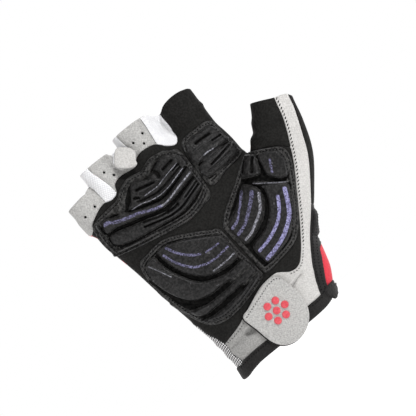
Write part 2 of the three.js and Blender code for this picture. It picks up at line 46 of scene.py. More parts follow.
LEATHER = 1.2
PATCH = 0.9
CUSHION = 2.1
STRAP = 1.8
BINDING_PROUD = 0.7
BINDING_INNER = 0.4
SEAM_GAP = 0.3
FINGER_DEPTH = 20
FINGER_LEAN = -3
THUMB_WIDTH = 27
SQUARENESS = 2.5
FINGER_SQUARENESS = 2.3
THUMB_SQUARENESS = 2.1
GRID = 1.25  # spacing of the glove's base surface
FINGER_JOIN = 3  # fillets between the parts of the hand form
THUMB_WEB_JOIN = 3
FINGER_WEB_JOIN = 2
VENT_RADIUS = 0.72
GATHER_HEIGHT = 0.35
GATHER_PITCH = 3.4
GATHER_TOP = 26
CELL_WIDTH = 1.6
CELL_HEIGHT = 1.3
BINDING_ROLL = 1.3
LOOP_HEIGHT = 2.1
LOOP_ROLL = 3.6
TAB_THICKNESS = 0.7
STITCH_LIFT = 0.08
CUSHION_ROLL = 1.8
CUSHION_CROWN = 0.5
PATCH_ROLL = 2.2
SHEET_EDGE = 0.6  # depth of a panel's edge under its face
# Below this height, the ground of a pad takes painted shade
SHADED_GROUND_HEIGHT = 1.25

# The floor, in metres

FLOOR_SIDES = 64
FLOOR_RADIUS = 0.9
FLOOR_LEVEL = -0.05

# The frame of the picture

FRAME_PIXELS = 416
MM_PER_PIXEL = 0.54
FRAME_TURN = 37.5  # degrees
FRAME_CENTRE = (5.73, 79.3)
PALM_LEVEL = 8

# Sections of the hand form: z, left, right, front, back

PALM_SECTIONS = np.array([
    [-20, 35.5, 29.0, 18.5, 18.5],
    [-8, 35.3, 30.0, 18.5, 18.5],
    [2, 34.6, 33.2, 18.5, 18.5],
    [16, 35.6, 40, 18, 18],
    [30, 38, 42.2, 17.5, 16.5],
    [45, 41, 42, 16, 15.5],
    [60, 44, 41.5, 14.6, 15],
    [75, 46.6, 41, 14.4, 14.5],
    [90, 50, 40, 15, 14],
    [101, 51.6, 39.4, 15, 14],
    [108, 54.4, 38, 14, 13],
    [114, 55, 34.6, 12.4, 11.4],
    [120.5, 49, 25, 9, 8],
    [125, 38, 14, 4, 4],
])

# Fingers: width, start x and z, hem x and z, run past the hem

FINGERS = [
    (17.4, -45.4, 107, -47.2, 125.3, 1.4),
    (19, -27, 95, -29.4, 136, 12),
    (20.4, -3, 95, -3.2, 140.3, 12),
    (22, 26, 95, 26.5, 138, 12),
]

# Thumb: x, y, z of the axis, then left, right, front and back as shares of its width

THUMB_SECTIONS = np.array([
    [12, -3, 8, 0.6, 0.55, 0.5, 0.5],
    [22, -4.5, 25, 0.78, 0.55, 0.52, 0.5],
    [33, -6, 43, 0.9, 0.5, 0.53, 0.5],
    [44, -8, 60, 0.92, 0.57, 0.5, 0.5],
    [54.5, -10, 77, 0.68, 0.62, 0.47, 0.47],
    [62, -12, 92, 0.5, 0.545, 0.44, 0.44],
    [67.8, -13.5, 105, 0.42, 0.44, 0.4, 0.4],
    [74, -15, 119, 0.42, 0.44, 0.4, 0.4],
])

# Web of the thumb: x, y, z, half height, half depth

THUMB_WEB = np.array([
    [28, -3, 78.2, 11, 9],
    [42, -5, 77.6, 11, 8],
    [55, -9, 79.4, 11.3, 7.5],
])

# Webs of the fingers: x, top x, half width, root z, top z

FINGER_WEBS = [
    (-35, -38.4, 5, 108, 125.6),
    (-15, -17.3, 6.5, 108, 134),
    (11, 11.4, 6.5, 108, 150),
]

# Outlines seen from the palm side: x and z

TRIM_TOP = [
    [-70, 122], [-57, 123.6], [-44, 125.6], [-41.4, 126.2], [-41.3, 134.9], [-39.6, 135.4],
    [-30, 135.8], [-18, 136.5], [-14, 139.8], [7, 140.4], [11, 138], [15.2, 135.4],
    [20, 137.8], [27, 138.8], [34, 138], [39, 135], [51, 118.6], [55.2, 112.4], [56.8, 110.6],
    [63, 107.6], [69.5, 104.6], [76, 102.5], [80, 99], [95, 92],
]
CUFF_EDGE = [
    [-60, -9], [-35, -6.6], [-28, -4.8], [-20, -3.3], [0, -2.6], [20, -2], [27, -1],
    [31, 0.6], [36, 2.8], [60, 2.8],
]
CUFF_SEAM = [
    [-60, 1], [-34.5, 1], [-29, 2.8], [-20, 3.7], [-12, 4], [5, 4.8], [16.5, 5], [25, 5.3],
    [31, 6.5], [36, 7], [60, 7],
]
PALM_TOP = [
    [-70, 98], [-52.5, 106], [-50, 109.5], [-45, 112.5], [-38, 115.4], [-33, 114.3],
    [-28.5, 115.5], [-26, 120], [-20, 121.8], [-12, 121], [-9, 124], [-4, 125.2], [4, 124],
    [8, 120], [12.5, 117.3], [15.4, 120], [16, 126], [15.7, 131], [15.4, 150],
]
LITTLE_SEAM = [[-36.4, 112], [-36.6, 118], [-38, 126.5], [-41, 131], [-41, 150]]
RING_LEFT_SEAM = [[-27.8, 112], [-29, 121], [-31, 128], [-33, 135], [-33.5, 150]]
RING_RIGHT_SEAM = [[-12, 119], [-13.4, 122.4], [-19.4, 128.6], [-18.3, 134], [-17.5, 150]]
MIDDLE_LEFT_SEAM = [[-9, 120], [-8.5, 127], [-9, 132], [-10.3, 139], [-11, 150]]
MIDDLE_RIGHT_SEAM = [[4.6, 119], [5.8, 130], [6.3, 136], [6.6, 150]]
THUMB_STRIP_INNER = [[73, 118], [69.5, 104.5], [66.5, 92], [62, 81], [60.6, 78]]
PALM_BOTTOM = [
    [60.6, 78], [56, 69], [49, 57.5], [42, 46], [34, 34], [28, 27], [25, 25.2], [22, 25],
    [19, 26], [15.5, 28.5], [12, 29.7], [2, 28.5], [-10, 23.5], [-20, 19], [-31.5, 15.7],
]
THUMB_BACK_EDGE = [
    [80, 112], [77, 101.5], [75.6, 95], [74, 90], [70.3, 80], [66.3, 70], [60.2, 60], [51.5, 47.5],
]
BINDING_EDGE = [[51.5, 47.5], [47.5, 42.5], [40, 33.5], [32.5, 22], [27.5, 11.5], [25, 3]]
RED_EDGE = [[30.4, 3], [31.9, 8.6], [35, 14.6], [38.4, 21], [41, 25.8], [48, 27], [60, 36]]
THUMB_SEAM = [[39.6, 91], [46, 87.5], [54, 84], [60.6, 78]]
MESH_SEAM = [
    [-50, 33], [-38.5, 33], [-36, 25], [-33, 20], [-31.5, 15.7], [-31.8, 12], [-31, 7], [-29, 1],
]
BAND_SPLIT = [[3, 32], [2, 15], [3, 1]]
THUMB_BACK_SEAM = [[40.5, 96], [43.6, 80], [47.4, 64], [49.6, 54], [50.6, 46], [55, 38]]
LOOP_OUTLINE = [[42.5, 32], [42, 37], [45.4, 41], [50, 44.4], [56, 42], [56, 35], [48.6, 31.4]]
TAPE_END = [
    [27.4, 4.6], [28.6, 6.8], [32, 7.6], [35, 5.4], [34.6, 3], [32.6, 0.6], [30.4, -1.1],
    [29.1, -0.6], [28.4, 1.8],
]
STRAP_OUTLINE = [
    [-15, 21], [-10, 23.3], [-5, 25.6], [2, 28], [8, 29.2], [12, 28.6], [14.5, 24], [16.4, 16],
    [16.2, 8], [14.5, 2.5], [11, -2], [6, -5], [1, -6], [-4, -5], [-8, -2.3], [-11, 3], [-13, 12],
]
TAB_OUTLINE = [
    [-15.7, 133.8], [-14, 134.6], [-12.1, 134.1], [-8.7, 131.5], [-7.1, 128.6], [-7, 126.6],
    [-9.4, 123.1], [-9.9, 121.4], [-12.1, 120.8], [-16.4, 122.9], [-19.2, 125.5],
    [-20.3, 127.6], [-18.6, 130.4],
]
SIDE_SEAM = np.array([
    [-90, -1], [-50, -1], [-44, 2.5], [13, 2.5], [24, 0.2], [34, 0.8], [40, 1], [44, -2], [50, -6],
    [80, -13], [110, -13],
])
VENTS = [
    [-50, 115.5], [-42, 117], [-27, 128.5], [-23.5, 124.3], [-5, 131.5], [2.5, 132.7],
    [-0.3, 127.8],
]
DOT_CENTRE = (1.5, 13.5)
DOT_PITCH = 5.4
DOT_RADIUS = 2.1

# Pads: the outline of each sewn patch and of its gel cushions

PADS = {
    "finger_pad": {
        "patch": [
            [-49.5, 109], [-50, 100], [-49, 91.5], [-47, 88.3], [-30, 84], [-12, 80.8], [-4, 80.2],
            [4, 82], [12, 86], [12.6, 112], [8, 115.6], [2, 119], [-4, 119.6], [-11, 117],
            [-18, 118], [-25, 116.5], [-30, 112.6], [-37, 111.6],
        ],
        "cushions": {
            "upper": [
                [-28.5, 103.9], [-25, 107], [-22.4, 111], [-19.8, 113.6], [-14, 112.6], [-9.6, 111],
                [-6.6, 112.6], [-2, 114.8], [3, 115.6], [8, 113.6], [11.2, 109], [11.2, 104.6],
                [-4, 100], [-11, 99], [-18, 100.8],
            ],
            "wave": [
                [-44.5, 107.8], [-38, 106.4], [-28, 103.1], [-18, 99.8], [-11, 98], [-4, 99],
                [11.2, 103.6], [11, 98.6], [-4, 94.6], [-11, 93.6], [-17, 94.5], [-23, 96.4],
                [-32.5, 98.8], [-38.6, 100.6], [-45, 101.4],
            ],
            "lower": [
                [-45, 99.4], [-38.6, 98.7], [-32.5, 96.9], [-23, 94.6], [-17, 92.7], [-11, 91.8],
                [-4.8, 92.6], [10.5, 96.6], [11.2, 91.4], [-2, 86.4], [-14, 86.4], [-42, 91.4],
            ],
        },
    },
    "index_pad": {
        "patch": [
            [14, 111], [17, 116.4], [25, 117.4], [35, 116], [36.6, 104], [38.4, 97], [37.4, 91.4],
            [28, 90], [14, 88.4],
        ],
        "cushions": {
            "upper": [
                [16, 101.2], [15.4, 111], [19, 114], [27, 114.6], [33, 113.6], [34.6, 106],
                [35.4, 101.6],
            ],
            "lower": [[16.4, 92], [16, 100.2], [35.4, 100.6], [36.6, 95], [35.6, 93]],
        },
    },
    "thenar_pad": {
        "patch": [
            [6.2, 67], [15, 74.6], [25, 80.8], [32.4, 86.2], [38.4, 89.4], [44.4, 88.2], [52, 84.6],
            [57, 80.6], [57.2, 74], [52, 63.4], [45, 51.6], [37, 41], [30, 36.2], [18, 33.6],
            [9, 33], [7.6, 42], [6.6, 54],
        ],
        "cushions": {
            "upper_left": [
                [30.2, 80], [31.8, 84], [35.6, 87.2], [40.6, 88.2], [43.4, 85.8], [41.7, 80],
                [39.6, 76.4], [35, 77.6],
            ],
            "upper_right": [
                [44.6, 84.6], [51, 83.4], [55, 79.2], [54.2, 72.8], [50.6, 67.6], [46.6, 67.9],
                [44, 70.6], [41.7, 74.4], [42.8, 79],
            ],
            "inner": [
                [8.6, 65], [18, 70.6], [27.6, 77], [31, 75.6], [34, 71], [33, 64.6], [28, 58],
                [20, 53], [12, 50.6], [9.4, 54],
            ],
            "outer": [
                [36.6, 71], [46.8, 65.2], [46.2, 59], [40.6, 49], [34, 42.4], [25, 38.2],
                [14.6, 36.2], [12.4, 40.6], [12.4, 48.2], [22, 51.2], [29, 56], [33.8, 62.4],
                [35.8, 68],
            ],
        },
    },
    "heel_pad": {
        "patch": [
            [-42.4, 77], [-36, 79.4], [-26, 80.6], [-19, 79], [-10, 74.6], [0, 69], [4, 65.6],
            [5.2, 50], [7.2, 38], [7.4, 33], [3, 30.4], [-10, 26.8], [-22, 25.4], [-31, 28.4],
            [-37, 38], [-41, 50], [-43.4, 62],
        ],
        "cushions": {
            "almond": [
                [-30.4, 76.6], [-25, 77.4], [-14, 73.6], [-4, 67.8], [2, 64], [3.4, 56], [3, 48.6],
                [-5, 47.6], [-14, 49], [-21, 53.6], [-26.4, 61], [-29.6, 69],
            ],
            "arc": [
                [-38.6, 75.6], [-33, 76], [-31.6, 69], [-28, 60], [-22, 51], [-14, 46.8],
                [-5, 45.4], [3.6, 46], [4.4, 41.6], [-10, 41.4], [-22, 41.2], [-29.6, 43.6],
                [-36, 51], [-40, 61], [-41.4, 70],
            ],
            "ridge": [
                [-34.4, 41], [-30, 39.6], [-22, 38.4], [4.6, 39.6], [5, 36.6], [-12, 35],
                [-27, 34], [-33, 36.4],
            ],
            "edge": [
                [-33.4, 33.6], [-29, 32.2], [-20, 31.8], [-6, 33], [6, 34.8], [5, 31.8],
                [-10, 28.4], [-22, 27.4], [-29.4, 29.4],
            ],
        },
    },
}

# Raised lines that carry a pale stripe, a painted highlight along their crests

UPPER_RIB = [[-17.1, 104.5], [-9, 104.3], [-4.8, 105.2], [-0.2, 106.3], [6.8, 107.9]]
WAVE_RIB = [
    [-27, 103.2], [-21, 102.5], [-15.5, 101], [-10.2, 100.4], [-4.8, 100.9], [1.4, 102.3],
    [7.9, 104],
]
ARC_RIB = [[-37.4, 74], [-34.4, 68.2], [-31.4, 62]]

# Printed stripes on the cushions, the silver ones along ridges being painted highlights: pad, width,
# print, centre line

STRIPES = [
    ("finger_pad", 1.6, "purple", [
        [-43.4, 106.4], [-41.3, 105.8], [-39.2, 104.3], [-35.5, 102.6], [-31, 101.3],
        [-25.5, 99.8], [-21, 98], [-17, 96.3], [-13.2, 95.3]]),
    # The silver stripes below, along the wave's right part, the ribs and the index pad's ridge, are
    # painted highlights
    ("finger_pad", 0.9, "silver_and_highlight", [
        [-13.2, 95.4], [-11, 95.2], [-7.8, 95.7], [-0.2, 97.8], [9.5, 100.3]]),
    ("finger_pad", 0.4, "silver_and_highlight", UPPER_RIB),
    ("finger_pad", 0.4, "silver_and_highlight", WAVE_RIB),
    ("index_pad", 0.6, "silver_and_highlight", [[20.4, 102.7], [23, 102.9], [26.4, 102.7]]),
    ("thenar_pad", 1.7, "purple", [[9.5, 62.5], [14, 64.3], [18, 67], [22, 69.8], [26.5, 74]]),
    ("thenar_pad", 1.9, "purple", [[10, 58], [15, 59], [20, 61.5], [27, 67], [31, 71]]),
    ("thenar_pad", 1.3, "silver_and_highlight", [[12, 53], [16, 53.6], [20, 55.5], [28, 61], [33, 68.5]]),
    ("thenar_pad", 1.7, "violet", [
        [14.6, 43.9], [20, 45.2], [25, 47.2], [30, 50], [34, 53.5], [37, 57.5], [39.4, 61.6]]),
    ("thenar_pad", 2.1, "violet", [
        [15.2, 38.2], [20, 39.4], [28, 42.6], [34, 46.6], [38.4, 51], [41.6, 56.4],
        [44.6, 62.8]]),
    # A painted highlight along the rib
    ("thenar_pad", 0.5, "silver_and_highlight", [[33.6, 74.4], [38.5, 71], [43, 68], [47.6, 65]]),
    ("thenar_pad", 1.1, "purple", [[45, 73.4], [46.6, 76.4], [48.2, 79.4]]),
    ("heel_pad", 1.3, "purple", [
        [-24.8, 76], [-22.5, 71.5], [-20, 68], [-16, 64.3], [-12.4, 62.2]]),
    ("heel_pad", 1.0, "purple", [[-9.4, 61.2], [-6, 60.9], [-1.5, 60.8]]),
    ("heel_pad", 1.3, "purple", [
        [-28, 73.6], [-26.5, 69], [-24, 64.4], [-21, 60.4], [-18, 57.8], [-14, 56.2]]),
    ("heel_pad", 1.2, "purple", [[-13.4, 55.8], [-9, 55.2], [-5, 55.3], [1.4, 56.2]]),
    ("heel_pad", 0.8, "silver_and_highlight", [[-12, 50.4], [-5, 50.4], [2, 51.2]]),
    # A painted highlight along the arc's rib
    ("heel_pad", 0.4, "silver_and_highlight", ARC_RIB),
]
# The ground print is painted shade, and the silver print also paints highlights along ridges
PRINTS = ["leather", "purple", "violet", "silver_and_highlight", "shaded_ground", "border"]

# Lines moulded into the cushions: pad, height, half width, line

RIBS = [
    ("finger_pad", 0.8, 0.5, UPPER_RIB),
    ("finger_pad", 0.8, 0.5, WAVE_RIB),
    ("finger_pad", -1.2, 0.6, [
        [-22, 104.6], [-17, 103.2], [-11, 102.3], [-4.8, 102.9], [1.4, 104.3], [7, 105.6]]),
    ("finger_pad", -2.0, 0.85, [[-19, 109.7], [-15.6, 109], [-12, 108.1], [-9.2, 107.5]]),
    ("finger_pad", -1.8, 0.75, [[-0.9, 109.9], [2, 110.4], [5.3, 110.8]]),
    ("finger_pad", -1.8, 0.9, [[-22.4, 107], [-20.4, 105.7]]),
    ("finger_pad", -1.4, 0.6, [[2.7, 106.4], [5, 106.9], [7.4, 107.2]]),
    ("finger_pad", -1.0, 0.6, [[-18.4, 106.9], [-13, 106.1], [-8, 105.9]]),
    ("finger_pad", -1.6, 1.3, [[-5.4, 111.8], [-4.6, 110], [-4.8, 108.4]]),
    ("finger_pad", 1.7, 1.7, [
        [-32.6, 105.2], [-31, 109.4], [-27.4, 113.4], [-21.4, 115.8], [-14, 114.8],
        [-9.4, 113.4]]),
    ("finger_pad", 1.5, 1.5, [
        [-9.2, 113.4], [-6.8, 115.4], [-2, 117.2], [3.6, 117.4], [8.6, 114.8], [12, 110]]),
    ("finger_pad", 0.9, 1.6, [[-43, 109.4], [-37, 108.8], [-33, 107.2]]),
    ("finger_pad", -1.7, 0.65, [[-26, 94.5], [-22, 93.2], [-17.4, 91.6], [-12.5, 90.9]]),
    ("finger_pad", -2.2, 0.85, [[-12.6, 90.9], [-9, 90.6], [-6, 90.9]]),
    ("finger_pad", -1.8, 0.6, [
        [-27, 91.9], [-21, 90.3], [-15.5, 88.9], [-11, 88.2], [-4.8, 88.4], [1.4, 90.2],
        [9.4, 92.8]]),
    ("finger_pad", -1.4, 0.55, [[-0.2, 91.4], [3.7, 92.6], [9.4, 94.6]]),
    ("finger_pad", 1.3, 0.65, [[-49.7, 107.6], [-50, 100], [-49.4, 92], [-47.4, 88.8],
                               [-42, 87.2], [-34, 85.3], [-24, 83.6]]),
    ("finger_pad", 1.3, 0.65, [[-47.5, 108.3], [-47.7, 100], [-47.1, 93], [-45.2, 90.2],
                               [-40, 88.8], [-34, 87.4], [-24, 85.7]]),
    ("index_pad", -1.7, 0.7, [[21.3, 110.3], [25, 110.6], [29.8, 110.5]]),
    ("index_pad", 0.7, 0.5, [[18, 107.2], [24, 107.6], [32, 106.8]]),
    ("index_pad", -0.6, 0.6, [[18, 104.8], [24, 105.2], [32, 104.4]]),
    ("index_pad", -1.3, 0.6, [[29, 106.6], [31.4, 106.5], [33.6, 106.3]]),
    ("index_pad", 0.8, 0.6, [[17.5, 102.5], [23, 102.9], [29, 102.6]]),
    ("index_pad", -1.5, 0.6, [[21, 96.8], [26, 97.6], [34, 99.4]]),
    ("index_pad", -1.0, 0.6, [[18, 94.6], [25, 95.2], [32, 96]]),
    ("thenar_pad", 1.5, 0.55, [[33.6, 74.4], [38.5, 71], [43, 68], [48.2, 64.6]]),
    ("thenar_pad", -2.3, 0.8, [[33, 81.8], [36, 84.9], [38.8, 87.4]]),
    ("thenar_pad", -2.3, 0.8, [[37, 79.4], [39.6, 82.5], [42.1, 85.4]]),
    ("thenar_pad", -0.8, 1.1, [[10.4, 50], [10.6, 42], [12, 36.6]]),
    ("heel_pad", 0.9, 0.5, ARC_RIB),
    ("heel_pad", -1.8, 1.2, [[-42.4, 67], [-40, 57.4], [-35.4, 48.4], [-29, 42.6], [-22, 40.2]]),
    ("heel_pad", 0.6, 0.55, [[3.2, 63], [3.8, 56], [3.4, 50]]),
    ("heel_pad", 0.7, 0.9, [[-40.6, 50.4], [-37.6, 43.4], [-33, 39.4], [-26, 37.2]]),
    ("heel_pad", 2.3, 1.6, [[-7, 40.6], [-1, 40.5], [5.4, 40.4]]),
    ("heel_pad", 1.9, 1.2, [[-3, 35.3], [1, 35.5], [6, 35.8]]),
]

# Rows of stitches over the pads: pad, line

PAD_SEAMS = [
    ("finger_pad", [[-48.6, 108.6], [-49, 100], [-48.2, 92], [-46, 89.3], [-30, 85.3],
                    [-12, 82.2], [-4, 81.7], [4, 83.4], [11.2, 87.2]]),
    ("finger_pad", [[-46.6, 108], [-46.9, 100], [-46.2, 93], [-44.8, 91], [-30, 87.2],
                    [-12, 84], [-4, 83.5], [3.4, 85.2], [10.6, 88.8]]),
    ("finger_pad", [[-46, 109.6], [-37, 110.2], [-30, 111.2], [-24.4, 115], [-18, 116.6],
                    [-11, 115.5], [-4, 118.1], [2, 117.6], [7.6, 114.4], [11.3, 111.2]]),
    ("finger_pad", [[11.4, 109.6], [11.4, 100], [11.2, 89]]),
    ("index_pad", [[15.2, 110.6], [17.7, 115.2], [25, 116.2], [34, 115], [35.6, 104],
                   [37.3, 97], [36.4, 92.6], [28, 91.1], [15.2, 89.6]]),
    ("thenar_pad", [[8.4, 67.4], [15.8, 73.6], [25.8, 79.7], [33.2, 85], [38.6, 88.1],
                    [44, 87], [51.4, 83.4], [55.8, 80], [56, 74.4], [50.9, 64], [44, 52.3],
                    [36.2, 42], [29.5, 37.4], [18, 34.8], [10, 34.2]]),
    ("thenar_pad", [[54, 79], [54.2, 75], [49.3, 65.3], [42.4, 53.7], [35, 43.8], [29, 39.4],
                    [18, 36.8], [11, 36.2]]),
    ("heel_pad", [[-41.2, 76.4], [-36, 78.2], [-26, 79.4], [-19.2, 77.8], [-10.6, 73.4],
                  [-0.8, 67.8], [2.8, 64.9], [4, 50], [6, 38], [6.1, 33.8], [2.4, 31.6],
                  [-10, 28], [-22, 26.6], [-30.3, 29.4], [-36, 38.4], [-39.8, 50.3],
                  [-42.2, 62], [-41.2, 76.4]]),
    ("heel_pad", [[-39.6, 75.4], [-35.4, 76.7], [-26, 77.9], [-19.6, 76.3], [-11.4, 72],
                  [-2, 66.6]]),
    ("heel_pad", [[1.6, 33.2], [-10, 29.7], [-22, 28.3], [-29, 30.4]]),
]

# Rows of stitches on the suede and the tape: piece, line, distance beside it

CLOTH_SEAMS = [
    ("wrist_band", [[-30.6, 15.2], [-24.7, 16.1], [-20.7, 17.2], [-18, 18.2], [-16, 19]], 0),
    ("closure_strap", [
        [-14, 20], [-8, 22.3], [-1.3, 24.5], [5.3, 26.9], [9, 27.5], [11.4, 27.3], [13.4, 25.6]], 0),
    ("cuff_binding", [[-33, 0.2], [-28, 1.4], [-20, 2.3], [-12, 2.6]], 0),
    ("cuff_binding", [[17.6, 3.6], [21, 3.7], [25.6, 4]], 0),
    ("side_binding", BINDING_EDGE[1:], -1.2),
    ("side_binding", BINDING_EDGE[1:], -3.4),
]

# Seams (below 0) and flex welts on the back: height, half width, line

BACK_LINES = [
    (-0.7, 0.7, [[-37.5, 125], [-36.4, 112], [-33, 96], [-31, 78], [-30, 60]]),
    (-0.7, 0.7, [[-17.5, 133], [-16, 114], [-14, 96], [-13, 78]]),
    (-0.7, 0.7, [[10, 136], [9.5, 116], [9, 96], [8.6, 78]]),
    (-0.7, 0.7, [[-30, 60], [-13, 66], [8.6, 66], [30, 60], [44, 52]]),
    (-0.6, 0.6, [[-28, 28], [-8, 30], [14, 30], [34, 27]]),
    (0.9, 1.3, [[-29, 98.5], [-23, 99.4], [-17.6, 98.5]]),
    (0.9, 1.3, [[-28.4, 94], [-22.6, 94.9], [-17.2, 94]]),
    (0.9, 1.3, [[-28, 89.5], [-22.2, 90.4], [-16.8, 89.5]]),
    (0.9, 1.3, [[-10, 101.5], [-2, 102.6], [5, 101.5]]),
    (0.9, 1.3, [[-9.8, 97], [-2, 98], [5, 97]]),
    (0.9, 1.3, [[-9.6, 92.5], [-2, 93.5], [5, 92.5]]),
    (0.9, 1.3, [[13, 99.5], [22, 100.5], [30, 99.5]]),
    (0.9, 1.3, [[13, 95], [22, 96], [30, 95]]),
    (0.9, 1.3, [[13, 90.5], [22, 91.5], [30, 90.5]]),
]

# Rows of stitches on the back: x and z

BACK_SEAMS = [
    [[-38.8, 123.6], [-37.6, 112], [-34.2, 96], [-32.2, 78], [-31.2, 61.4]],
    [[-18.7, 131], [-17.2, 114], [-15.2, 96], [-14.2, 78.6]],
    [[11.2, 134], [10.7, 116], [10.2, 96], [9.8, 78.6]],
    [[-29.4, 58.6], [-13, 64.6], [8.6, 64.6], [29.4, 58.6], [42, 51.6]],
    [[-54, 121.6], [-47, 122.6], [-41.4, 123.6]],
    [[-36, 133.2], [-29, 133.6], [-21.6, 133.8]],
    [[-11, 137.6], [-3, 137.8], [5.4, 137.8]],
    [[17.6, 134.6], [27, 136], [35.4, 135]],
]
THUMB_HEM_SEAM = [[59, 106.4], [66, 103.4], [73, 100.8]]

# Folds and dents of the cloth: x, z of both ends, height, half width

FOLDS = [
    (-30, 11.6, -10, 12.6, -1.2, 1.2),
    (-18.6, 13, -9, 13.6, -2.2, 1.2),
    (-19, 15.6, -10, 16.6, 0.7, 1.1),
    (-40, 8.6, -8, 8.4, 0.6, 2.2),
    (-40, 16.5, -16, 17.5, 0.5, 2.0),
    (-21.2, 128.6, -17, 122.8, -1.3, 0.8),
    (-20.8, 134, -20.9, 128.5, -0.9, 0.9),
    (-24.6, 121.6, -20.6, 126, 0.5, 1.2),
    (-7.4, 125.2, -3, 128.6, -0.7, 0.9),
    (-4.6, 126, 0.4, 129.6, 0.35, 1.0),
    (-49, 109, -40, 112.4, -0.3, 1.0),
    (14, 19.4, 26, 22.8, 1.0, 1.2),
    (13, 17.2, 23.6, 20.8, -1.4, 0.9),
    (15, 14.6, 30, 17.4, 0.35, 1.4),
    (16, 9.5, 26, 10.6, 0.3, 1.8),
    (-6, 78, 26, 85.5, -0.5, 3),
    (40, 91, 52, 95.4, 0.8, 1.6),
    (46, 97.5, 62, 91, -0.6, 1.8),
    (46, 88, 60, 84, 0.8, 1.7),
    (52, 101, 66, 96, 0.5, 2),
    (14, 119, 33.5, 121, -0.7, 1.8),
    (16, 123.4, 38, 126, 0.6, 1.6),
    (18, 130, 34, 131, -0.4, 2),
    (-8, 72, 8, 76, 0.5, 2.2),
    (12, 86, 30, 88, 0.5, 2),
    (7.2, 122, 7.4, 140, 0.5, 0.9),
    (12.4, 120, 13.2, 138, 0.35, 1.2),
    (-38, 70, -47, 84, -0.4, 2),
    (-38, 33, -32, 19, 0.5, 2.2),
    (48, 60, 62, 82, -0.3, 1.6),
]

# Curves and distances


def smooth_line(points, closed=False, parts=5):
    """A smooth line through the points."""
    points = np.asarray(points, float)
    if closed:
        padded = np.vstack([points[-1], points, points[:2]])
    else:
        first = 2 * points[0] - points[1]
        last = 2 * points[-1] - points[-2]
        padded = np.vstack([first, points, last])
    t = (np.arange(parts) / parts)[:, None]
    rows = []
    for before, start, end, after in zip(padded, padded[1:], padded[2:], padded[3:]):
        bend = (start - end) * 1.5 + (after - before) / 2
        turn = before - 2.5 * start + 2 * end - after / 2
        rows.append(start + t * (end - before) / 2 + t ** 2 * turn + t ** 3 * bend)
    line = np.vstack(rows)
    return line if closed else np.vstack([line, points[-1:]])


def beside(line, distance):
    """A line moved sideways."""
    line = smooth_line(line)
    ahead = np.gradient(line, axis=0)
    ahead /= np.linalg.norm(ahead, axis=1)[:, None]
    return line + distance * np.column_stack([ahead[:, 1], -ahead[:, 0]])


def table_curve(at, knots, values):
    """A smooth curve through a table that never overshoots its values."""
    gaps = np.diff(knots)
    slopes = np.diff(values) / gaps
    tangents = np.zeros(len(knots))
    product = slopes[:-1] * slopes[1:]
    tangents[1:-1] = np.where(
        product > 0, 2 * product / np.where(product > 0, slopes[:-1] + slopes[1:], 1), 0)
    tangents[0] = slopes[0]
    tangents[-1] = slopes[-1]
    at = np.clip(at, knots[0], knots[-1])
    i = np.clip(np.searchsorted(knots, at) - 1, 0, len(gaps) - 1)
    t = (at - knots[i]) / gaps[i]
    rest = 1 - t
    return (
        (1 + 2 * t) * rest ** 2 * values[i] + t ** 2 * (3 - 2 * t) * values[i + 1]
        + gaps[i] * (t * rest ** 2 * tangents[i] - t ** 2 * rest * tangents[i + 1]))


def line_distance(x, z, line, far=12.0):
    """Distance to an open line in the xz plane, at most about `far`."""
    line = np.asarray(line, float)
    out = np.full(len(x), far)
    low = line.min(0) - far
    high = line.max(0) + far
    near = np.flatnonzero((x > low[0]) & (x < high[0]) & (z > low[1]) & (z < high[1]))
    px, pz = x[near], z[near]
    best = np.full(len(near), far ** 2)
    for (ax, az), (bx, bz) in zip(line, line[1:]):
        dx, dz = bx - ax, bz - az
        t = ((px - ax) * dx + (pz - az) * dz) / max(dx * dx + dz * dz, 1e-9)
        t = np.clip(t, 0, 1)
        best = np.minimum(best, (px - ax - t * dx) ** 2 + (pz - az - t * dz) ** 2)
    out[near] = np.sqrt(best)
    return out


def outline_distance(x, z, outline, far=12.0):
    """Signed distance to a closed outline in the xz plane, negative inside."""
    outline = np.asarray(outline, float)
    closed = np.vstack([outline, outline[:1]])
    distance = line_distance(x, z, closed, far)
    inside = np.zeros(len(x), bool)
    low, high = outline.min(0), outline.max(0)
    near = np.flatnonzero((x > low[0]) & (x < high[0]) & (z > low[1]) & (z < high[1]))
    px, pz = x[near], z[near]
    odd = np.zeros(len(near), bool)
    for (ax, az), (bx, bz) in zip(closed, closed[1:]):
        spans = (az > pz) != (bz > pz)
        if az != bz:
            odd ^= spans & (px < ax + (pz - az) * (bx - ax) / (bz - az))
    inside[near] = odd
    return np.where(inside, -distance, distance)


def ridge(x, z, rise, half, line):
    """Height of a soft ridge along a line, or of a groove where the rise is below 0."""
    return rise * np.exp(-(line_distance(x, z, smooth_line(line)) / half) ** 2)


def join_soft(a, b, reach):
    """Union of two distance fields with a fillet."""
    share = np.clip(0.5 + 0.5 * (b - a) / reach, 0, 1)
    return b + (a - b) * share - reach * share * (1 - share)


def rounded(distance, radius):
    """Quarter-round rise from 0 on a border to 1 at a radius inside it."""
    share = np.clip(distance / radius, 0, 1)
    return np.sqrt(np.maximum(1 - (1 - share) ** 2, 0))


# The hand form as a distance field on a grid

LOW = np.array([-66.0, -32.0, -16.0])
HIGH = np.array([90.0, 24.0, 156.0])
xs, ys, zs = [np.arange(low, high + GRID, GRID) for low, high in zip(LOW, HIGH)]


def section_level(u, v, left, right, front, back, power):
    """Level of a rounded-box section: 0 on it, negative inside."""
    across = np.abs(u) / np.where(u > 0, right, left)
    deep = np.abs(v) / np.where(v > 0, back, front)
    return (across ** power + deep ** power) ** (1 / power) - 1


def as_distance(level):
    """A level field turned into a distance field by its own slope."""
    slopes = np.gradient(level, GRID)
    steepness = np.sqrt(sum(slope ** 2 for slope in slopes))
    return level / np.maximum(steepness, 0.012)


def palm_field(x, y, z):
    """The palm, a loft of rounded boxes."""
    knots = PALM_SECTIONS[:, 0]
    left, right, front, back = [
        table_curve(z, knots, PALM_SECTIONS[:, column]) for column in range(1, 5)]
    level = section_level(x, y, left, right, front, back, SQUARENESS)
    return np.maximum(as_distance(level), z - knots[-1])


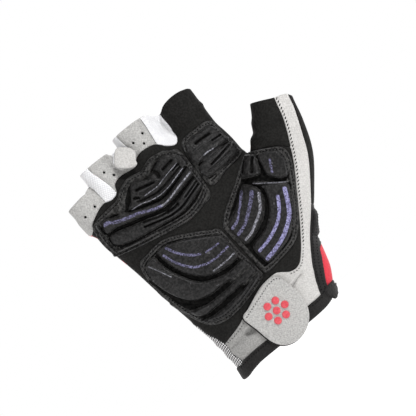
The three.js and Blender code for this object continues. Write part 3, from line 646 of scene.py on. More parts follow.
def finger_field(x, y, z, width, start_x, start_z, hem_x, hem_z, run):
    """One finger, from inside the palm to past its hem."""
    share = (z - start_z) / (hem_z - start_z)
    u = x - (start_x + (hem_x - start_x) * share)
    v = y - FINGER_LEAN * share
    half = FINGER_DEPTH / 2
    level = section_level(u, v, width / 2, width / 2, half, half, FINGER_SQUARENESS)
    ends = np.maximum(start_z - z, z - hem_z - run)
    return np.maximum(as_distance(level), ends)


def tube_field(sections, power):
    """A tube along a line, its sections square to the line in the xz plane."""
    line = smooth_line(sections, parts=12)
    tangent = np.gradient(line[:, [0, 2]], axis=0)
    step = np.linalg.norm(tangent, axis=1)
    tangent /= step[:, None]
    px, pz = np.meshgrid(xs, zs, indexing="ij")
    gap = (px[..., None] - line[:, 0]) ** 2 + (pz[..., None] - line[:, 2]) ** 2
    nearest = gap.argmin(-1)
    ahead = (px - line[nearest, 0]) * tangent[nearest, 0]
    ahead += (pz - line[nearest, 2]) * tangent[nearest, 1]
    place = np.clip(nearest + ahead / step[nearest], 0, len(line) - 1)
    index = np.arange(len(line))
    cx, cy, cz, left, right, front, back = [
        np.interp(place, index, line[:, column]) for column in range(7)]
    tx = np.interp(place, index, tangent[:, 0])
    tz = np.interp(place, index, tangent[:, 1])
    u = (px - cx) * tz - (pz - cz) * tx
    over = (px - cx) * tx + (pz - cz) * tz
    over = np.where(nearest < len(line) / 2, -over, over)
    over = np.where((place > 0) & (place < len(line) - 1), -50.0, over)
    u, left, right, front, back, cy, over = [
        part[:, None, :] for part in (u, left, right, front, back, cy, over)]
    v = ys[None, :, None] - cy
    level = section_level(u, v, left, right, front, back, power)
    return np.maximum(as_distance(level), over)


def web_field(x, y, z, foot_x, top_x, half, foot_z, top_z):
    """The thin web between two fingers."""
    share = (z - foot_z) / (top_z - foot_z)
    u = x - (foot_x + (top_x - foot_x) * share)
    v = y - FINGER_LEAN * share
    depth = 4 + (1.3 - 4) * np.clip(share, 0, 1)
    level = section_level(u, v, half, half, depth, depth, FINGER_SQUARENESS)
    return np.maximum(as_distance(level), np.maximum(foot_z - z, z - top_z))


def hand_field():
    """The whole hand form."""
    x, y, z = np.meshgrid(xs, ys, zs, indexing="ij")
    field = palm_field(x, y, z)
    thumb = THUMB_SECTIONS.copy()
    thumb[:, 3:] *= THUMB_WIDTH
    reach = 5 + 9 * np.clip((y + 2) / 8, 0, 1)
    field = join_soft(field, tube_field(thumb, THUMB_SQUARENESS), reach)
    web = np.column_stack([THUMB_WEB[:, [0, 1, 2, 3, 3, 4, 4]]])
    field = join_soft(field, tube_field(web, FINGER_SQUARENESS), THUMB_WEB_JOIN)
    for finger in FINGERS:
        field = join_soft(field, finger_field(x, y, z, *finger), FINGER_JOIN)
    for web in FINGER_WEBS:
        field = join_soft(field, web_field(x, y, z, *web), FINGER_WEB_JOIN)
    return field


FIELD = hand_field()
SLOPE = np.gradient(FIELD, GRID)


def sample(grid, points):
    """Value of a grid at points, between its nodes."""
    at = (points - LOW) / GRID
    cell = np.clip(np.floor(at).astype(int), 0, np.array(grid.shape) - 2)
    fx, fy, fz = np.clip(at - cell, 0, 1).T
    i, j, k = cell.T
    value = 0
    for di, wx in ((0, 1 - fx), (1, fx)):
        for dj, wy in ((0, 1 - fy), (1, fy)):
            for dk, wz in ((0, 1 - fz), (1, fz)):
                value = value + wx * wy * wz * grid[i + di, j + dj, k + dk]
    return value


def normals(points):
    """Outward directions of the hand form."""
    slope = np.column_stack([sample(part, points) for part in SLOPE])
    return slope / np.maximum(np.linalg.norm(slope, axis=1), 1e-6)[:, None]


def onto_form(points, rounds=3):
    """Points moved onto the hand form."""
    for _ in range(rounds):
        slope = np.column_stack([sample(part, points) for part in SLOPE])
        steepness = np.maximum((slope ** 2).sum(1), 0.2)
        move = np.clip(sample(FIELD, points) / steepness, -1, 1)
        points = points - slope * move[:, None]
    return points


def settled(surface):
    """The surface with its points moved onto the hand form."""
    return onto_form(surface[0]), surface[1]


def surface_net(field):
    """Triangles round the negative part of a grid."""
    inside = field < 0
    shape = np.array(field.shape)
    cells = shape - 1
    total = np.zeros((*cells, 3))
    count = np.zeros(cells)
    corners = [(i, j, k) for i in (0, 1) for j in (0, 1) for k in (0, 1)]

    def corner(grid, offset):
        return grid[tuple(slice(o, o + n) for o, n in zip(offset, cells))]

    for a in corners:
        for axis in range(3):
            if a[axis]:
                continue
            b = tuple(1 if n == axis else a[n] for n in range(3))
            crossed = corner(inside, a) != corner(inside, b)
            first, second = corner(field, a)[crossed], corner(field, b)[crossed]
            place = np.tile(np.array(a, float), (len(first), 1))
            place[:, axis] = first / (first - second)
            total[crossed] += place
            count[crossed] += 1
    used = count > 0
    number = np.full(cells, -1)
    number[used] = np.arange(used.sum())
    base = np.argwhere(used)
    points = LOW + (base + total[used] / count[used][:, None]) * GRID
    quads = []
    for axis in range(3):
        one, two = (axis + 1) % 3, (axis + 2) % 3
        size = shape.copy()
        size[axis] -= 1
        low = inside[tuple(slice(0, n) for n in size)]
        shifted = [slice(0, n) for n in size]
        shifted[axis] = slice(1, shape[axis])
        high = inside[tuple(shifted)]
        edge = np.argwhere(low != high)
        keep = (edge[:, one] > 0) & (edge[:, two] > 0)
        keep &= (edge[:, one] < cells[one]) & (edge[:, two] < cells[two])
        edge = edge[keep]
        flip = low[tuple(edge.T)]
        ring = []
        for d_one, d_two in ((-1, -1), (0, -1), (0, 0), (-1, 0)):
            cell = edge.copy()
            cell[:, one] += d_one
            cell[:, two] += d_two
            ring.append(number[tuple(cell.T)])
        quad = np.column_stack(ring)
        quad[~flip] = quad[~flip][:, ::-1]
        quads.append(quad)
    quads = np.vstack(quads)
    ends = points[quads]
    short = np.linalg.norm(ends[:, 0] - ends[:, 2], axis=1)
    other = np.linalg.norm(ends[:, 1] - ends[:, 3], axis=1)
    one = short <= other
    faces = np.vstack([
        quads[one][:, [0, 1, 2]], quads[one][:, [0, 2, 3]],
        quads[~one][:, [0, 1, 3]], quads[~one][:, [1, 2, 3]],
    ])
    return points, faces


# Cutting and refining open surfaces: each is a pair of points and triangles


def compact(points, faces):
    """The surface without the points that no face uses."""
    used, numbered = np.unique(faces, return_inverse=True)
    return points[used], numbered.reshape(faces.shape)


def split(points, faces, value, snap=0.04):
    """New points where a value crosses 0: returns points, faces and each face's side."""
    side = np.where(np.abs(value) < snap, 0, np.sign(value)).astype(int)
    corner = side[faces]
    crossed = (corner.min(1) < 0) & (corner.max(1) > 0)
    plain, cut, cut_side = faces[~crossed], faces[crossed], corner[crossed]
    plain_side = np.where(corner[~crossed].max(1) > 0, 1, -1)
    if not len(cut):
        return points, plain, plain_side
    ends = np.vstack([cut[:, [0, 1]], cut[:, [1, 2]], cut[:, [2, 0]]])
    ends = np.sort(ends[side[ends[:, 0]] * side[ends[:, 1]] < 0], axis=1)
    keys = np.unique(ends[:, 0] * len(points) + ends[:, 1])
    a, b = keys // len(points), keys % len(points)
    share = (value[a] / (value[a] - value[b]))[:, None]
    added = points[a] * (1 - share) + points[b] * share

    def crossing(p, q):
        key = np.minimum(p, q) * len(points) + np.maximum(p, q)
        return len(points) + np.searchsorted(keys, key)

    new_faces, new_side = [plain], [plain_side]
    has_zero = (cut_side == 0).any(1)
    turn = np.argmax(cut_side == 0, axis=1)
    rolled = cut[np.arange(len(cut))[:, None], (turn[:, None] + np.arange(3)) % 3]
    z, p, q = rolled[has_zero].T
    if len(z):
        m = crossing(p, q)
        new_faces += [np.column_stack([z, p, m]), np.column_stack([z, m, q])]
        new_side += [side[p], side[q]]
    lone = np.sign(-cut_side.sum(1))[:, None] == cut_side
    turn = np.argmax(lone, axis=1)
    rolled = cut[np.arange(len(cut))[:, None], (turn[:, None] + np.arange(3)) % 3]
    a, b, c = rolled[~has_zero].T
    if len(a):
        m, n = crossing(a, b), crossing(a, c)
        new_faces += [
            np.column_stack([a, m, n]), np.column_stack([m, b, c]), np.column_stack([m, c, n])]
        new_side += [side[a], side[b], side[b]]
    return np.vstack([points, added]), np.vstack(new_faces), np.concatenate(new_side)


def part_inside(surface, value):
    """The part of a surface where a value is negative, and the rest."""
    points, faces, side = split(*surface, value)
    return compact(points, faces[side < 0]), compact(points, faces[side > 0])


def refined(surface, where=None):
    """New points at the middle of each edge, or of the edges where a test of points holds."""
    points, faces = surface
    ends = np.vstack([faces[:, [0, 1]], faces[:, [1, 2]], faces[:, [2, 0]]])
    ends = np.sort(ends, axis=1)
    keys, numbered = np.unique(ends[:, 0] * len(points) + ends[:, 1], return_inverse=True)
    middle = (points[keys // len(points)] + points[keys % len(points)]) / 2
    chosen = np.ones(len(keys), bool) if where is None else where(middle)
    number = np.where(chosen, len(points) + np.cumsum(chosen) - 1, -1)
    m = number[numbered.reshape(3, len(faces))].T
    count = (m >= 0).sum(1)
    lone = np.where(count == 1, np.argmax(m >= 0, axis=1), (np.argmax(m < 0, axis=1) + 1) % 3)
    turn = (lone[:, None] + np.arange(3)) % 3
    row = np.arange(len(faces))[:, None]
    a, b, c, p, q, r = np.column_stack([faces[row, turn], m[row, turn]]).T

    def some(kind, *columns):
        return np.column_stack(columns)[count == kind]

    faces = np.vstack([
        some(0, a, b, c), some(1, a, p, c), some(1, p, b, c), some(2, p, b, q), some(2, a, p, q),
        some(2, a, q, c), some(3, a, p, r), some(3, b, q, p), some(3, c, r, q), some(3, p, q, r)])
    return np.vstack([points, middle[chosen]]), faces


def border_points(faces):
    """Pairs of points along the open border."""
    ends = np.vstack([faces[:, [0, 1]], faces[:, [1, 2]], faces[:, [2, 0]]])
    size = faces.max() + 1
    key = np.minimum(ends[:, 0], ends[:, 1]) * size + np.maximum(ends[:, 0], ends[:, 1])
    _, first, count = np.unique(key, return_index=True, return_counts=True)
    return ends[first[count == 1]]


def on_border(surface):
    """Marks the points of the open border."""
    edge = np.zeros(len(surface[0]), bool)
    edge[border_points(surface[1]).ravel()] = True
    return edge


def border_distance(surface):
    """Distance of each point from the open border."""
    points, faces = surface
    pairs = border_points(faces)
    if not len(pairs):
        return np.full(len(points), 50.0)
    share = np.linspace(0, 1, 4)[:-1, None, None]
    dots = (points[pairs[:, 0]] * (1 - share) + points[pairs[:, 1]] * share).reshape(-1, 3)
    tree = KDTree(len(dots))
    for index, dot in enumerate(dots):
        tree.insert(dot, index)
    tree.balance()
    return np.array([tree.find(point)[2] for point in points])


def without_ears(surface):
    """The surface without the faces whose three corners all lie on its border."""
    points, faces = surface
    while True:
        ears = on_border((points, faces))[faces].all(1)
        if not ears.any():
            return compact(points, faces)
        faces = faces[~ears]


def with_rows(surface, radius, shares=(0.12, 0.45, 1.0)):
    """Rows of points near the border, for a rounded edge."""
    for share in shares:
        distance = border_distance(surface)
        points, faces, _ = split(*surface, distance - share * radius, snap=0.03)
        surface = compact(points, faces)
    return without_ears(surface)


def side_seam_gap(points):
    """Depth of points behind the seam between the palm side and the back."""
    return points[:, 1] - np.interp(points[:, 0], SIDE_SEAM[:, 0], SIDE_SEAM[:, 1])


def fold_height(points):
    """Height of the folds and dents of the cloth."""
    x, _, z = points.T
    height = np.zeros(len(points))
    front = side_seam_gap(points) < 0
    for x0, z0, x1, z1, rise, half in FOLDS:
        line = [[x0, z0], [(x0 + x1) / 2, (z0 + z1) / 2 + half / 3], [x1, z1]]
        height += ridge(x, z, rise, half, line) * front
    return height


def closed_between(surface, outer, inner):
    """A closed sheet of two faces, which share the points of the border."""
    points, faces = surface
    edge = on_border(surface)
    number = np.arange(len(points))
    number[~edge] = len(points) + np.arange((~edge).sum())
    outer[edge] = (outer[edge] + inner[edge]) / 2
    return np.vstack([outer, inner[~edge]]), np.vstack([faces, number[faces][:, ::-1]])


def closed_sheet(surface, top, bottom, folds=True):
    """A closed sheet over an open surface, between two heights over the hand form."""
    points = surface[0]
    rise = fold_height(points) if folds else 0
    direction = normals(points)
    outer = points + direction * (top + rise)[:, None]
    inner = points + direction * (bottom + rise)[:, None]
    return closed_between(surface, outer, inner)


PIECES = {}


def make_piece(name, points, faces, materials, nodes=(), face_material=None):
    """A mesh object that rides on the glove and stands for its CAD nodes."""
    mesh = bpy.data.meshes.new(f"{name}_soft")
    mesh.from_pydata((points * MM).tolist(), [], faces.tolist())
    mesh.validate()
    for material in materials:
        mesh.materials.append(material)
    if face_material is not None:
        mesh.polygons.foreach_set("material_index", face_material.astype(np.int32))
    mesh.polygons.foreach_set("use_smooth", np.ones(len(mesh.polygons), bool))
    mesh.update()
    piece = bpy.data.objects.new(f"{name}_soft", mesh)
    bpy.context.scene.collection.objects.link(piece)
    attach(piece, "root")
    PIECES[name] = piece
    if nodes:
        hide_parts(*nodes)
    return piece


def make_bodies(name, bodies, look, nodes=()):
    """One piece of many small bodies, each a pair of points and faces."""
    points, faces = [], []
    for new, sides in bodies:
        faces += [tuple(n + len(points) for n in side) for side in sides]
        points += new
    points = np.array([tuple(point) for point in points])
    return make_piece(name, points, np.array(faces), [look], nodes)


# Materials


class Look:
    """A small helper that builds one node material."""

    def __init__(self, name, roughness, **values):
        self.material = bpy.data.materials.new(name)
        self.material.use_nodes = True
        self.tree = self.material.node_tree
        self.shader = self.tree.nodes["Principled BSDF"]
        self.shader.inputs["Roughness"].default_value = roughness
        for socket, value in values.items():
            self.shader.inputs[socket.replace("_", " ")].default_value = value
        self.place = self.tree.nodes.new("ShaderNodeTexCoord").outputs["Object"]

    def node(self, kind, inputs=None, **values):
        node = self.tree.nodes.new(kind)
        for key, value in values.items():
            setattr(node, key, value)
        for key, value in (inputs or {}).items():
            if isinstance(value, bpy.types.NodeSocket):
                self.tree.links.new(value, node.inputs[key])
            else:
                node.inputs[key].default_value = value
        return node

    def noise(self, period, detail=3.0, stretch=(1, 1, 1)):
        """Soft noise with a period in millimetres."""
        place = self.node("ShaderNodeMapping", {"Vector": self.place, "Scale": stretch})
        scale = 1 / (period * MM)
        inputs = {"Vector": place.outputs[0], "Scale": scale, "Detail": detail}
        return self.node("ShaderNodeTexNoise", inputs).outputs[0]

    def voronoi(self, period):
        inputs = {"Vector": self.place, "Scale": 1 / (period * MM)}
        return self.node("ShaderNodeTexVoronoi", inputs).outputs

    def cells(self, period):
        """Distance from the middle of each small cell."""
        return self.voronoi(period)["Distance"]

    def speckle(self, period):
        """A random grey for each small cell."""
        colour = self.voronoi(period)["Color"]
        return self.node("ShaderNodeSeparateColor", {0: colour}).outputs[0]

    def weave(self, period, turn=0.0):
        """Crossed ribs of a knit or mesh."""
        place = self.node(
            "ShaderNodeMapping", {"Vector": self.place, "Rotation": (0, turn, 0.5)}).outputs[0]
        waves = []
        for direction in ("X", "Z"):
            wave = self.node(
                "ShaderNodeTexWave", {"Vector": place, "Scale": 0.314 / (period * MM)},
                bands_direction=direction)
            waves.append(wave.outputs["Fac"])
        return self.math("MULTIPLY", *waves)

    def math(self, operation, a, b):
        return self.node("ShaderNodeMath", {0: a, 1: b}, operation=operation).outputs[0]

    def blend(self, *parts):
        """The sum of values, each multiplied by its weight."""
        total = 0.0
        for value, weight in parts:
            total = self.math("ADD", total, self.math("MULTIPLY", value, weight))
        return total

    def ramp(self, value, stops):
        """Colours along a value: pairs of place and colour."""
        node = self.node("ShaderNodeValToRGB", {0: value})
        ramp = node.color_ramp
        while len(ramp.elements) < len(stops):
            ramp.elements.new(0.5)
        for element, (place, colour) in zip(ramp.elements, stops):
            element.position = place
            element.color = (*colour, 1)
        return node.outputs[0]

    def mixed(self, a, b, share):
        node = self.node("ShaderNodeMix", data_type="RGBA")
        for socket, value in ((node.inputs[0], share), (node.inputs[6], a), (node.inputs[7], b)):
            if isinstance(value, bpy.types.NodeSocket):
                self.tree.links.new(value, socket)
            else:
                socket.default_value = value if isinstance(value, float) else (*value, 1)
        return node.outputs[2]

    def edge_wear_and_highlight(self, colour, pale, amount=1.0):
        """Slight wear and painted highlight on raised edges."""
        bend = self.node("ShaderNodeNewGeometry").outputs["Pointiness"]
        edge = self.node(
            "ShaderNodeMapRange", {0: bend, 1: 0.53, 2: 0.62, 3: 0.0, 4: amount}).outputs[0]
        return self.mixed(colour, pale, edge)

    def finish(self, colour, height, depth, roughness=None, strength=1.0):
        """Link colour, bump height with its depth in millimetres, and roughness."""
        links = self.tree.links
        links.new(colour, self.shader.inputs["Base Color"])
        bump = self.node(
            "ShaderNodeBump", {"Height": height, "Distance": depth * MM, "Strength": strength})
        links.new(bump.outputs[0], self.shader.inputs["Normal"])
        if roughness is not None:
            links.new(roughness, self.shader.inputs["Roughness"])
        return self.material


def leather_look(
        name, dark, light, gloss, roughness, grain_size=0.7, relief=0.12, crest_wear_and_highlight=0.03):
    """Fine-grained black synthetic leather, its crests paler with wear and painted highlight."""
    look = Look(name, roughness, Specular_IOR_Level=gloss)
    pores = look.cells(grain_size)
    grain = look.noise(1.7 * grain_size, 2.0)
    height = look.blend((pores, 0.6), (grain, 1.0))
    tone = look.blend((look.noise(8, 4.0), 0.1), (grain, 0.9))
    colour = look.ramp(tone, [(0.4, dark), (0.62, light)])
    rough = look.node(
        "ShaderNodeMapRange", {0: look.noise(4, 3.0), 1: 0.3, 2: 0.7, 3: roughness - 0.08,
                               4: roughness + 0.12}).outputs[0]
    return look.finish(
        look.edge_wear_and_highlight(colour, (crest_wear_and_highlight, crest_wear_and_highlight, 1.05 * crest_wear_and_highlight), 0.5), height, relief, rough, 0.7)


def suede_look(name, dark, light):
    """Synthetic suede with a short nap."""
    look = Look(name, 0.95, Specular_IOR_Level=0.1, Sheen_Weight=0.25, Sheen_Roughness=0.6)
    nap = look.noise(0.85, 2.0)
    threads = look.weave(0.9, 0.65)
    patches = look.noise(18, 2.0)
    tone = look.blend((nap, 0.75), (patches, 0.15), (threads, 0.12))
    colour = look.ramp(tone, [(0.32, dark), (0.64, light)])
    return look.finish(look.edge_wear_and_highlight(colour, (0.7, 0.69, 0.67), 0.4), nap, 0.14)


def mesh_look(name, dark, light, period, turn=0.4):
    """Fine stretch mesh."""
    look = Look(name, 0.85, Specular_IOR_Level=0.15, Sheen_Weight=0.2)
    holes = look.weave(period, turn)
    tone = look.blend((holes, 0.8), (look.noise(4, 3.0), 0.3))
    colour = look.ramp(tone, [(0.1, dark), (0.6, light)])
    return look.finish(colour, holes, 0.14)


def cell_look(name, dark, light):
    """Ribbed mesh whose raised cells are paler than its gaps."""
    look = Look(name, 0.85, Specular_IOR_Level=0.15, Sheen_Weight=0.2)
    tone = look.node("ShaderNodeAttribute", attribute_name="tone").outputs["Fac"]
    fuzz = look.noise(0.5, 3.0)
    tone = look.math("MULTIPLY", tone, look.math("ADD", fuzz, 0.45))
    return look.finish(look.ramp(tone, [(0.32, dark), (0.6, light)]), fuzz, 0.12)


def knit_look(name, dark, light, period, sheen):
    """Knitted cloth or woven tape."""
    look = Look(name, 0.85, Specular_IOR_Level=0.15, Sheen_Weight=sheen, Sheen_Roughness=0.5)
    ribs = look.cells(period)
    shade = look.noise(9, 4.0)
    yarn = look.noise(0.8 * period, 3.0)
    tone = look.blend((yarn, 0.45), (shade, 0.2))
    colour = look.ramp(tone, [(0.17, dark), (0.48, light)])
    return look.finish(colour, look.blend((ribs, 1.0), (yarn, 0.6)), 0.15)


def stripe_look(name, dark, middle, light):
    """Speckled print on leather; the silver one also paints highlights along ridges."""
    look = Look(name, 0.5, Specular_IOR_Level=0.35)
    speck = look.speckle(0.6)
    colour = look.ramp(speck, [(0.12, dark), (0.45, middle), (0.95, light)])
    return look.finish(colour, look.cells(0.6), 0.1)


def rubber_look(name, dark, light):
    """Satin rubber."""
    look = Look(name, 0.45, Specular_IOR_Level=0.35)
    cloud = look.noise(1.2, 4.0)
    colour = look.ramp(cloud, [(0.3, dark), (0.7, light)])
    return look.finish(look.edge_wear_and_highlight(colour, (0.9, 0.4, 0.42), 0.4), cloud, 0.08)


def thread_look(name, dark, light):
    """Twisted sewing thread."""
    look = Look(name, 0.7, Specular_IOR_Level=0.08)
    twist = look.noise(0.3, 2.0, (1, 1, 2))
    return look.finish(look.ramp(twist, [(0.3, dark), (0.7, light)]), twist, 0.08)


LEATHER_LOOK = leather_look(
    "black_leather", (0.0095, 0.0092, 0.0087), (0.0175, 0.017, 0.0161), 0.06, 0.62, 0.6)
# Darker leather, painted shade for the pads' low ground and deep slots
SHADED_GROUND_LOOK = leather_look(
    "ground_leather_painted_shade", (0.0012, 0.0012, 0.0011), (0.008, 0.0077, 0.0073), 0.06, 0.65, 0.9, 0.3)
# The last value of the border and gel leathers is a pale crest tint, partly painted highlight on their
# ridges
BORDER_LOOK = leather_look(
    "border_leather", (0.005, 0.0049, 0.0048), (0.05, 0.0485, 0.047), 0.24, 0.5, 0.8, 0.4, 0.11)
GEL_LOOK = leather_look(
    "gel_leather", (0.005, 0.0049, 0.0049), (0.0225, 0.0216, 0.0218), 0.22, 0.45, 0.75, 0.35, 0.13)
GREY_SUEDE = suede_look("grey_suede", (0.3, 0.296, 0.288), (0.51, 0.502, 0.489))
# A darker copy of the grey suede, painted shade for the wrist band
SHADED_BAND_SUEDE = suede_look("band_suede_painted_shade", (0.22, 0.217, 0.21), (0.36, 0.354, 0.344))
PALE_SUEDE = suede_look("pale_suede", (0.42, 0.41, 0.397), (0.59, 0.578, 0.562))
WHITE_MESH = mesh_look("white_mesh", (0.77, 0.77, 0.79), (0.87, 0.87, 0.88), 0.7)
OPEN_MESH = mesh_look("open_mesh", (0.7, 0.7, 0.72), (0.97, 0.97, 0.98), 1.0, 0.75)
GREY_MESH = cell_look("grey_mesh", (0.02, 0.02, 0.021), (0.72, 0.71, 0.71))
BLACK_TAPE = knit_look("black_tape", (0.006, 0.0056, 0.0056), (0.024, 0.0225, 0.0225), 1.0, 0.1)
RED_CLOTH = knit_look("red_cloth", (0.5, 0.02, 0.035), (0.75, 0.05, 0.075), 0.9, 0.1)
RED_RUBBER = rubber_look("red_rubber", (0.55, 0.05, 0.07), (0.7, 0.1, 0.12))
PURPLE = stripe_look("purple_print", (0.014, 0.0134, 0.021), (0.062, 0.058, 0.108), (0.16, 0.153, 0.265))
VIOLET = stripe_look("violet_print", (0.06, 0.056, 0.1), (0.17, 0.16, 0.32), (0.32, 0.31, 0.52))
# Silver print, also used for painted highlights along ridges
SILVER_PRINT_AND_HIGHLIGHT = stripe_look("silver_print_and_highlight", (0.05, 0.05, 0.058), (0.12, 0.118, 0.14), (0.3, 0.3, 0.34))
BLACK_THREAD = thread_look("black_thread", (0.0015, 0.0015, 0.0015), (0.006, 0.006, 0.0065))
GREY_THREAD = thread_look("grey_thread", (0.06, 0.06, 0.06), (0.15, 0.15, 0.15))
RED_THREAD = thread_look("red_thread", (0.25, 0.01, 0.015), (0.4, 0.02, 0.03))
# Near-black discs behind the punched holes, painted shade
HOLE_SHADE_LOOK = leather_look("hole_shade", (0.003, 0.003, 0.003), (0.006, 0.006, 0.006), 0.05, 0.9)

# Panels of the shell


def in_outline(surface, outline):
    """Signed distance of a surface's points to an outline, negative inside."""
    points = surface[0]
    return outline_distance(points[:, 0], points[:, 2], outline)


def cut_out(surface, outline):
    """The part of a surface inside an outline."""
    return part_inside(surface, in_outline(surface, outline))[0]


def seam(line):
    """A smooth open line, as a list to join with others."""
    return smooth_line(line).tolist()


def back_height(points):
    """Height of the seams and flex welts on the back, and of the gathers at the wrist."""
    x, _, z = points.T
    wrist = np.clip((GATHER_TOP - z) / 6, 0, 1) * np.clip((z - 7) / 3, 0, 1)
    wrist *= np.clip((26 - x) / 10, 0, 1)
    gathers = GATHER_HEIGHT * wrist * np.cos(z * 2 * math.pi / GATHER_PITCH)
    return sum(ridge(x, z, *row) for row in BACK_LINES) + gathers


def sewn(surface, radius=0.9, depth=SHEET_EDGE, relief=None):
    """A panel's closed sheet, its edges rolled down into the seams."""
    surface = with_rows(surface, radius)
    distance = border_distance(surface)
    share = rounded(distance, radius)
    top = -depth + depth * share
    if relief:
        top += relief(surface[0]) * rounded(distance, 3 * radius)
    bottom = -depth - (LEATHER - depth) * rounded(distance, 0.7 * radius)
    return closed_sheet(surface, top, bottom)


def near_back_relief(points):
    """Marks the points near the relief of the back."""
    near = points[:, 2] < GATHER_TOP + 1
    for _, half, line in BACK_LINES:
        near |= line_distance(points[:, 0], points[:, 2], smooth_line(line)) < half + 1.8
    return near


def add_panel(name, look, slot, fine=False, where=None, **sizes):
    """One sewn panel, of finer triangles all over or where a test of points holds."""
    surface = PANELS[name]
    if fine:
        surface = settled(refined(surface, where))
    points, faces = sewn(surface, **sizes)
    return make_piece(name, points, faces, [look], [name])


def shell_regions():
    """The outer skin, cut into the glove's panels."""
    whole = skin = settled(surface_net(FIELD))
    above = seam(TRIM_TOP) + seam(CUFF_SEAM)[::-1]
    skin, below = part_inside(skin, in_outline(skin, above))
    cuff = seam(CUFF_EDGE) + seam(CUFF_SEAM)[::-1]
    panels = {"cuff_binding": cut_out(below, cuff)}
    mesh_region = seam(MESH_SEAM) + [[-80, 1], [-80, 33]]
    panels["side_mesh"], body = part_inside(skin, in_outline(skin, mesh_region))

    back_edge = seam(RED_EDGE) + seam(THUMB_BACK_EDGE)[::-1] + [[120, 112], [120, 0]]
    behind = np.maximum(side_seam_gap(body[0]), -in_outline(body, back_edge))
    front, back = part_inside(body, behind)
    thumb_region = seam(THUMB_BACK_SEAM) + [[120, 38], [120, 130], [44, 130]]
    panels["thumb_back"], panels["back_panel"] = part_inside(back, in_outline(back, thumb_region))

    palm_region = (
        seam(PALM_TOP) + [[41.5, 150], [41.5, 98]] + seam(THUMB_SEAM) + seam(PALM_BOTTOM)[1:]
        + [[-33, 20], [-36, 25], [-38.5, 33], [-80, 33]])
    panels["palm_panel"], rest = part_inside(front, in_outline(front, palm_region))
    thumb_region = (
        seam(THUMB_SEAM) + seam(THUMB_STRIP_INNER)[::-1][1:] + [[41.5, 125], [41.5, 98]])
    panels["thumb_stall"], rest = part_inside(rest, in_outline(rest, thumb_region))
    upper_region = [[-80, 96], [-80, 160], [35, 160], [35, 100]]
    upper, lower = part_inside(rest, in_outline(rest, upper_region))
    columns = [
        ("little_stall", LITTLE_SEAM), ("gusset_ring_little", RING_LEFT_SEAM),
        ("ring_stall", RING_RIGHT_SEAM), ("gusset_middle_ring", MIDDLE_LEFT_SEAM),
        ("middle_stall", MIDDLE_RIGHT_SEAM),
    ]
    for name, line in columns:
        right_of = seam(line) + [[60, 150], [60, 105]]
        upper, panels[name] = part_inside(upper, in_outline(upper, right_of))
    panels["gusset_index_middle"] = upper
    beside = seam(BINDING_EDGE) + [[70, 3], [70, 44]]
    panels["side_binding"], lower = part_inside(lower, in_outline(lower, beside))
    strip_region = seam(BAND_SPLIT) + [[120, 1], [120, 130], [60, 130], [20, 60]]
    panels["thumb_strip"], panels["wrist_band"] = part_inside(
        lower, in_outline(lower, strip_region))
    return whole, skin, panels


WHOLE_SKIN, SKIN, PANELS = shell_regions()


def add_leather_panels():
    """Black leather of the palm and the thumb."""
    for name in ("palm_panel", "thumb_stall", "thumb_back"):
        add_panel(name, LEATHER_LOOK, "black_leather")


def add_cloth_panels():
    """The red back and the suede at the thumb and the wrist, the wrist's suede a darker copy that paints
    shade.
    """
    add_panel("back_panel", RED_CLOTH, "red_cloth", True, near_back_relief, relief=back_height)
    add_panel("thumb_strip", PALE_SUEDE, "pale_suede", fine=True)
    add_panel("wrist_band", SHADED_BAND_SUEDE, "grey_suede", fine=True)


def add_stalls():
    """Suede fronts of three fingers, with punched holes."""
    for name in ("little_stall", "ring_stall", "middle_stall"):
        surface = settled(refined(PANELS[name]))
        low, high = surface[0].min(0), surface[0].max(0)
        for vent_x, vent_z in VENTS:
            if low[0] < vent_x < high[0] and low[2] < vent_z < high[2]:
                x, z = surface[0][:, 0], surface[0][:, 2]
                hole = VENT_RADIUS - np.hypot(x - vent_x, z - vent_z)
                near = side_seam_gap(surface[0]) < -2
                surface = part_inside(surface, np.where(near, hole, -5.0))[0]
        points, faces = sewn(surface, radius=1.0, depth=0.8)
        make_piece(name, points, faces, [GREY_SUEDE], [name])


def add_vent_shade_discs():
    """A dark disc behind each punched hole, painted shade that keeps the hole dark."""
    tree = BVHTree.FromPolygons(SKIN[0].tolist(), SKIN[1].tolist())
    discs = []
    for x, z in VENTS:
        spot, out = on_front(tree, x, z)
        if out.y > 0:
            out = -out
        along = out.cross(Vector((1, 0, 0))).normalized()
        discs.append(ellipsoid(spot - out, along, out, 2.4, 2.4, 0.3, 10))
    make_bodies("vent_shade_discs", discs, HOLE_SHADE_LOOK)


def add_gussets():
    """White mesh between the fingers."""
    for name in ("gusset_ring_little", "gusset_middle_ring", "gusset_index_middle"):
        look = OPEN_MESH if name == "gusset_ring_little" else WHITE_MESH
        add_panel(name, look, "white_mesh", fine=True, radius=0.7)


def add_side_mesh():
    """Ribbed mesh: small raised cells in slanted rows."""
    surface = settled(refined(PANELS["side_mesh"]))
    surface = without_ears(settled(refined(surface)))
    points = surface[0]
    distance = border_distance(surface)
    around = np.arctan2(points[:, 1], -(points[:, 0] + 18)) * 17
    up = points[:, 2] + 0.25 * around
    cell = np.abs(np.sin(around * math.pi / CELL_WIDTH) * np.sin(up * math.pi / CELL_HEIGHT))
    share = rounded(distance, 0.9)
    top = -SHEET_EDGE + share * (0.25 + 0.45 * np.sqrt(cell))
    bottom = -SHEET_EDGE - (LEATHER - SHEET_EDGE) * rounded(distance, 0.6)
    points, faces = closed_sheet(surface, top, bottom)
    piece = make_piece("side_mesh", points, faces, [GREY_MESH], ["side_mesh"])
    tone = np.clip((cell - 0.2) / 0.4, 0, 1) * share
    tone = np.concatenate([tone, tone[~on_border(surface)]])
    attribute = piece.data.attributes.new("tone", "FLOAT", "POINT")
    attribute.data.foreach_set("value", tone.astype(np.float32))


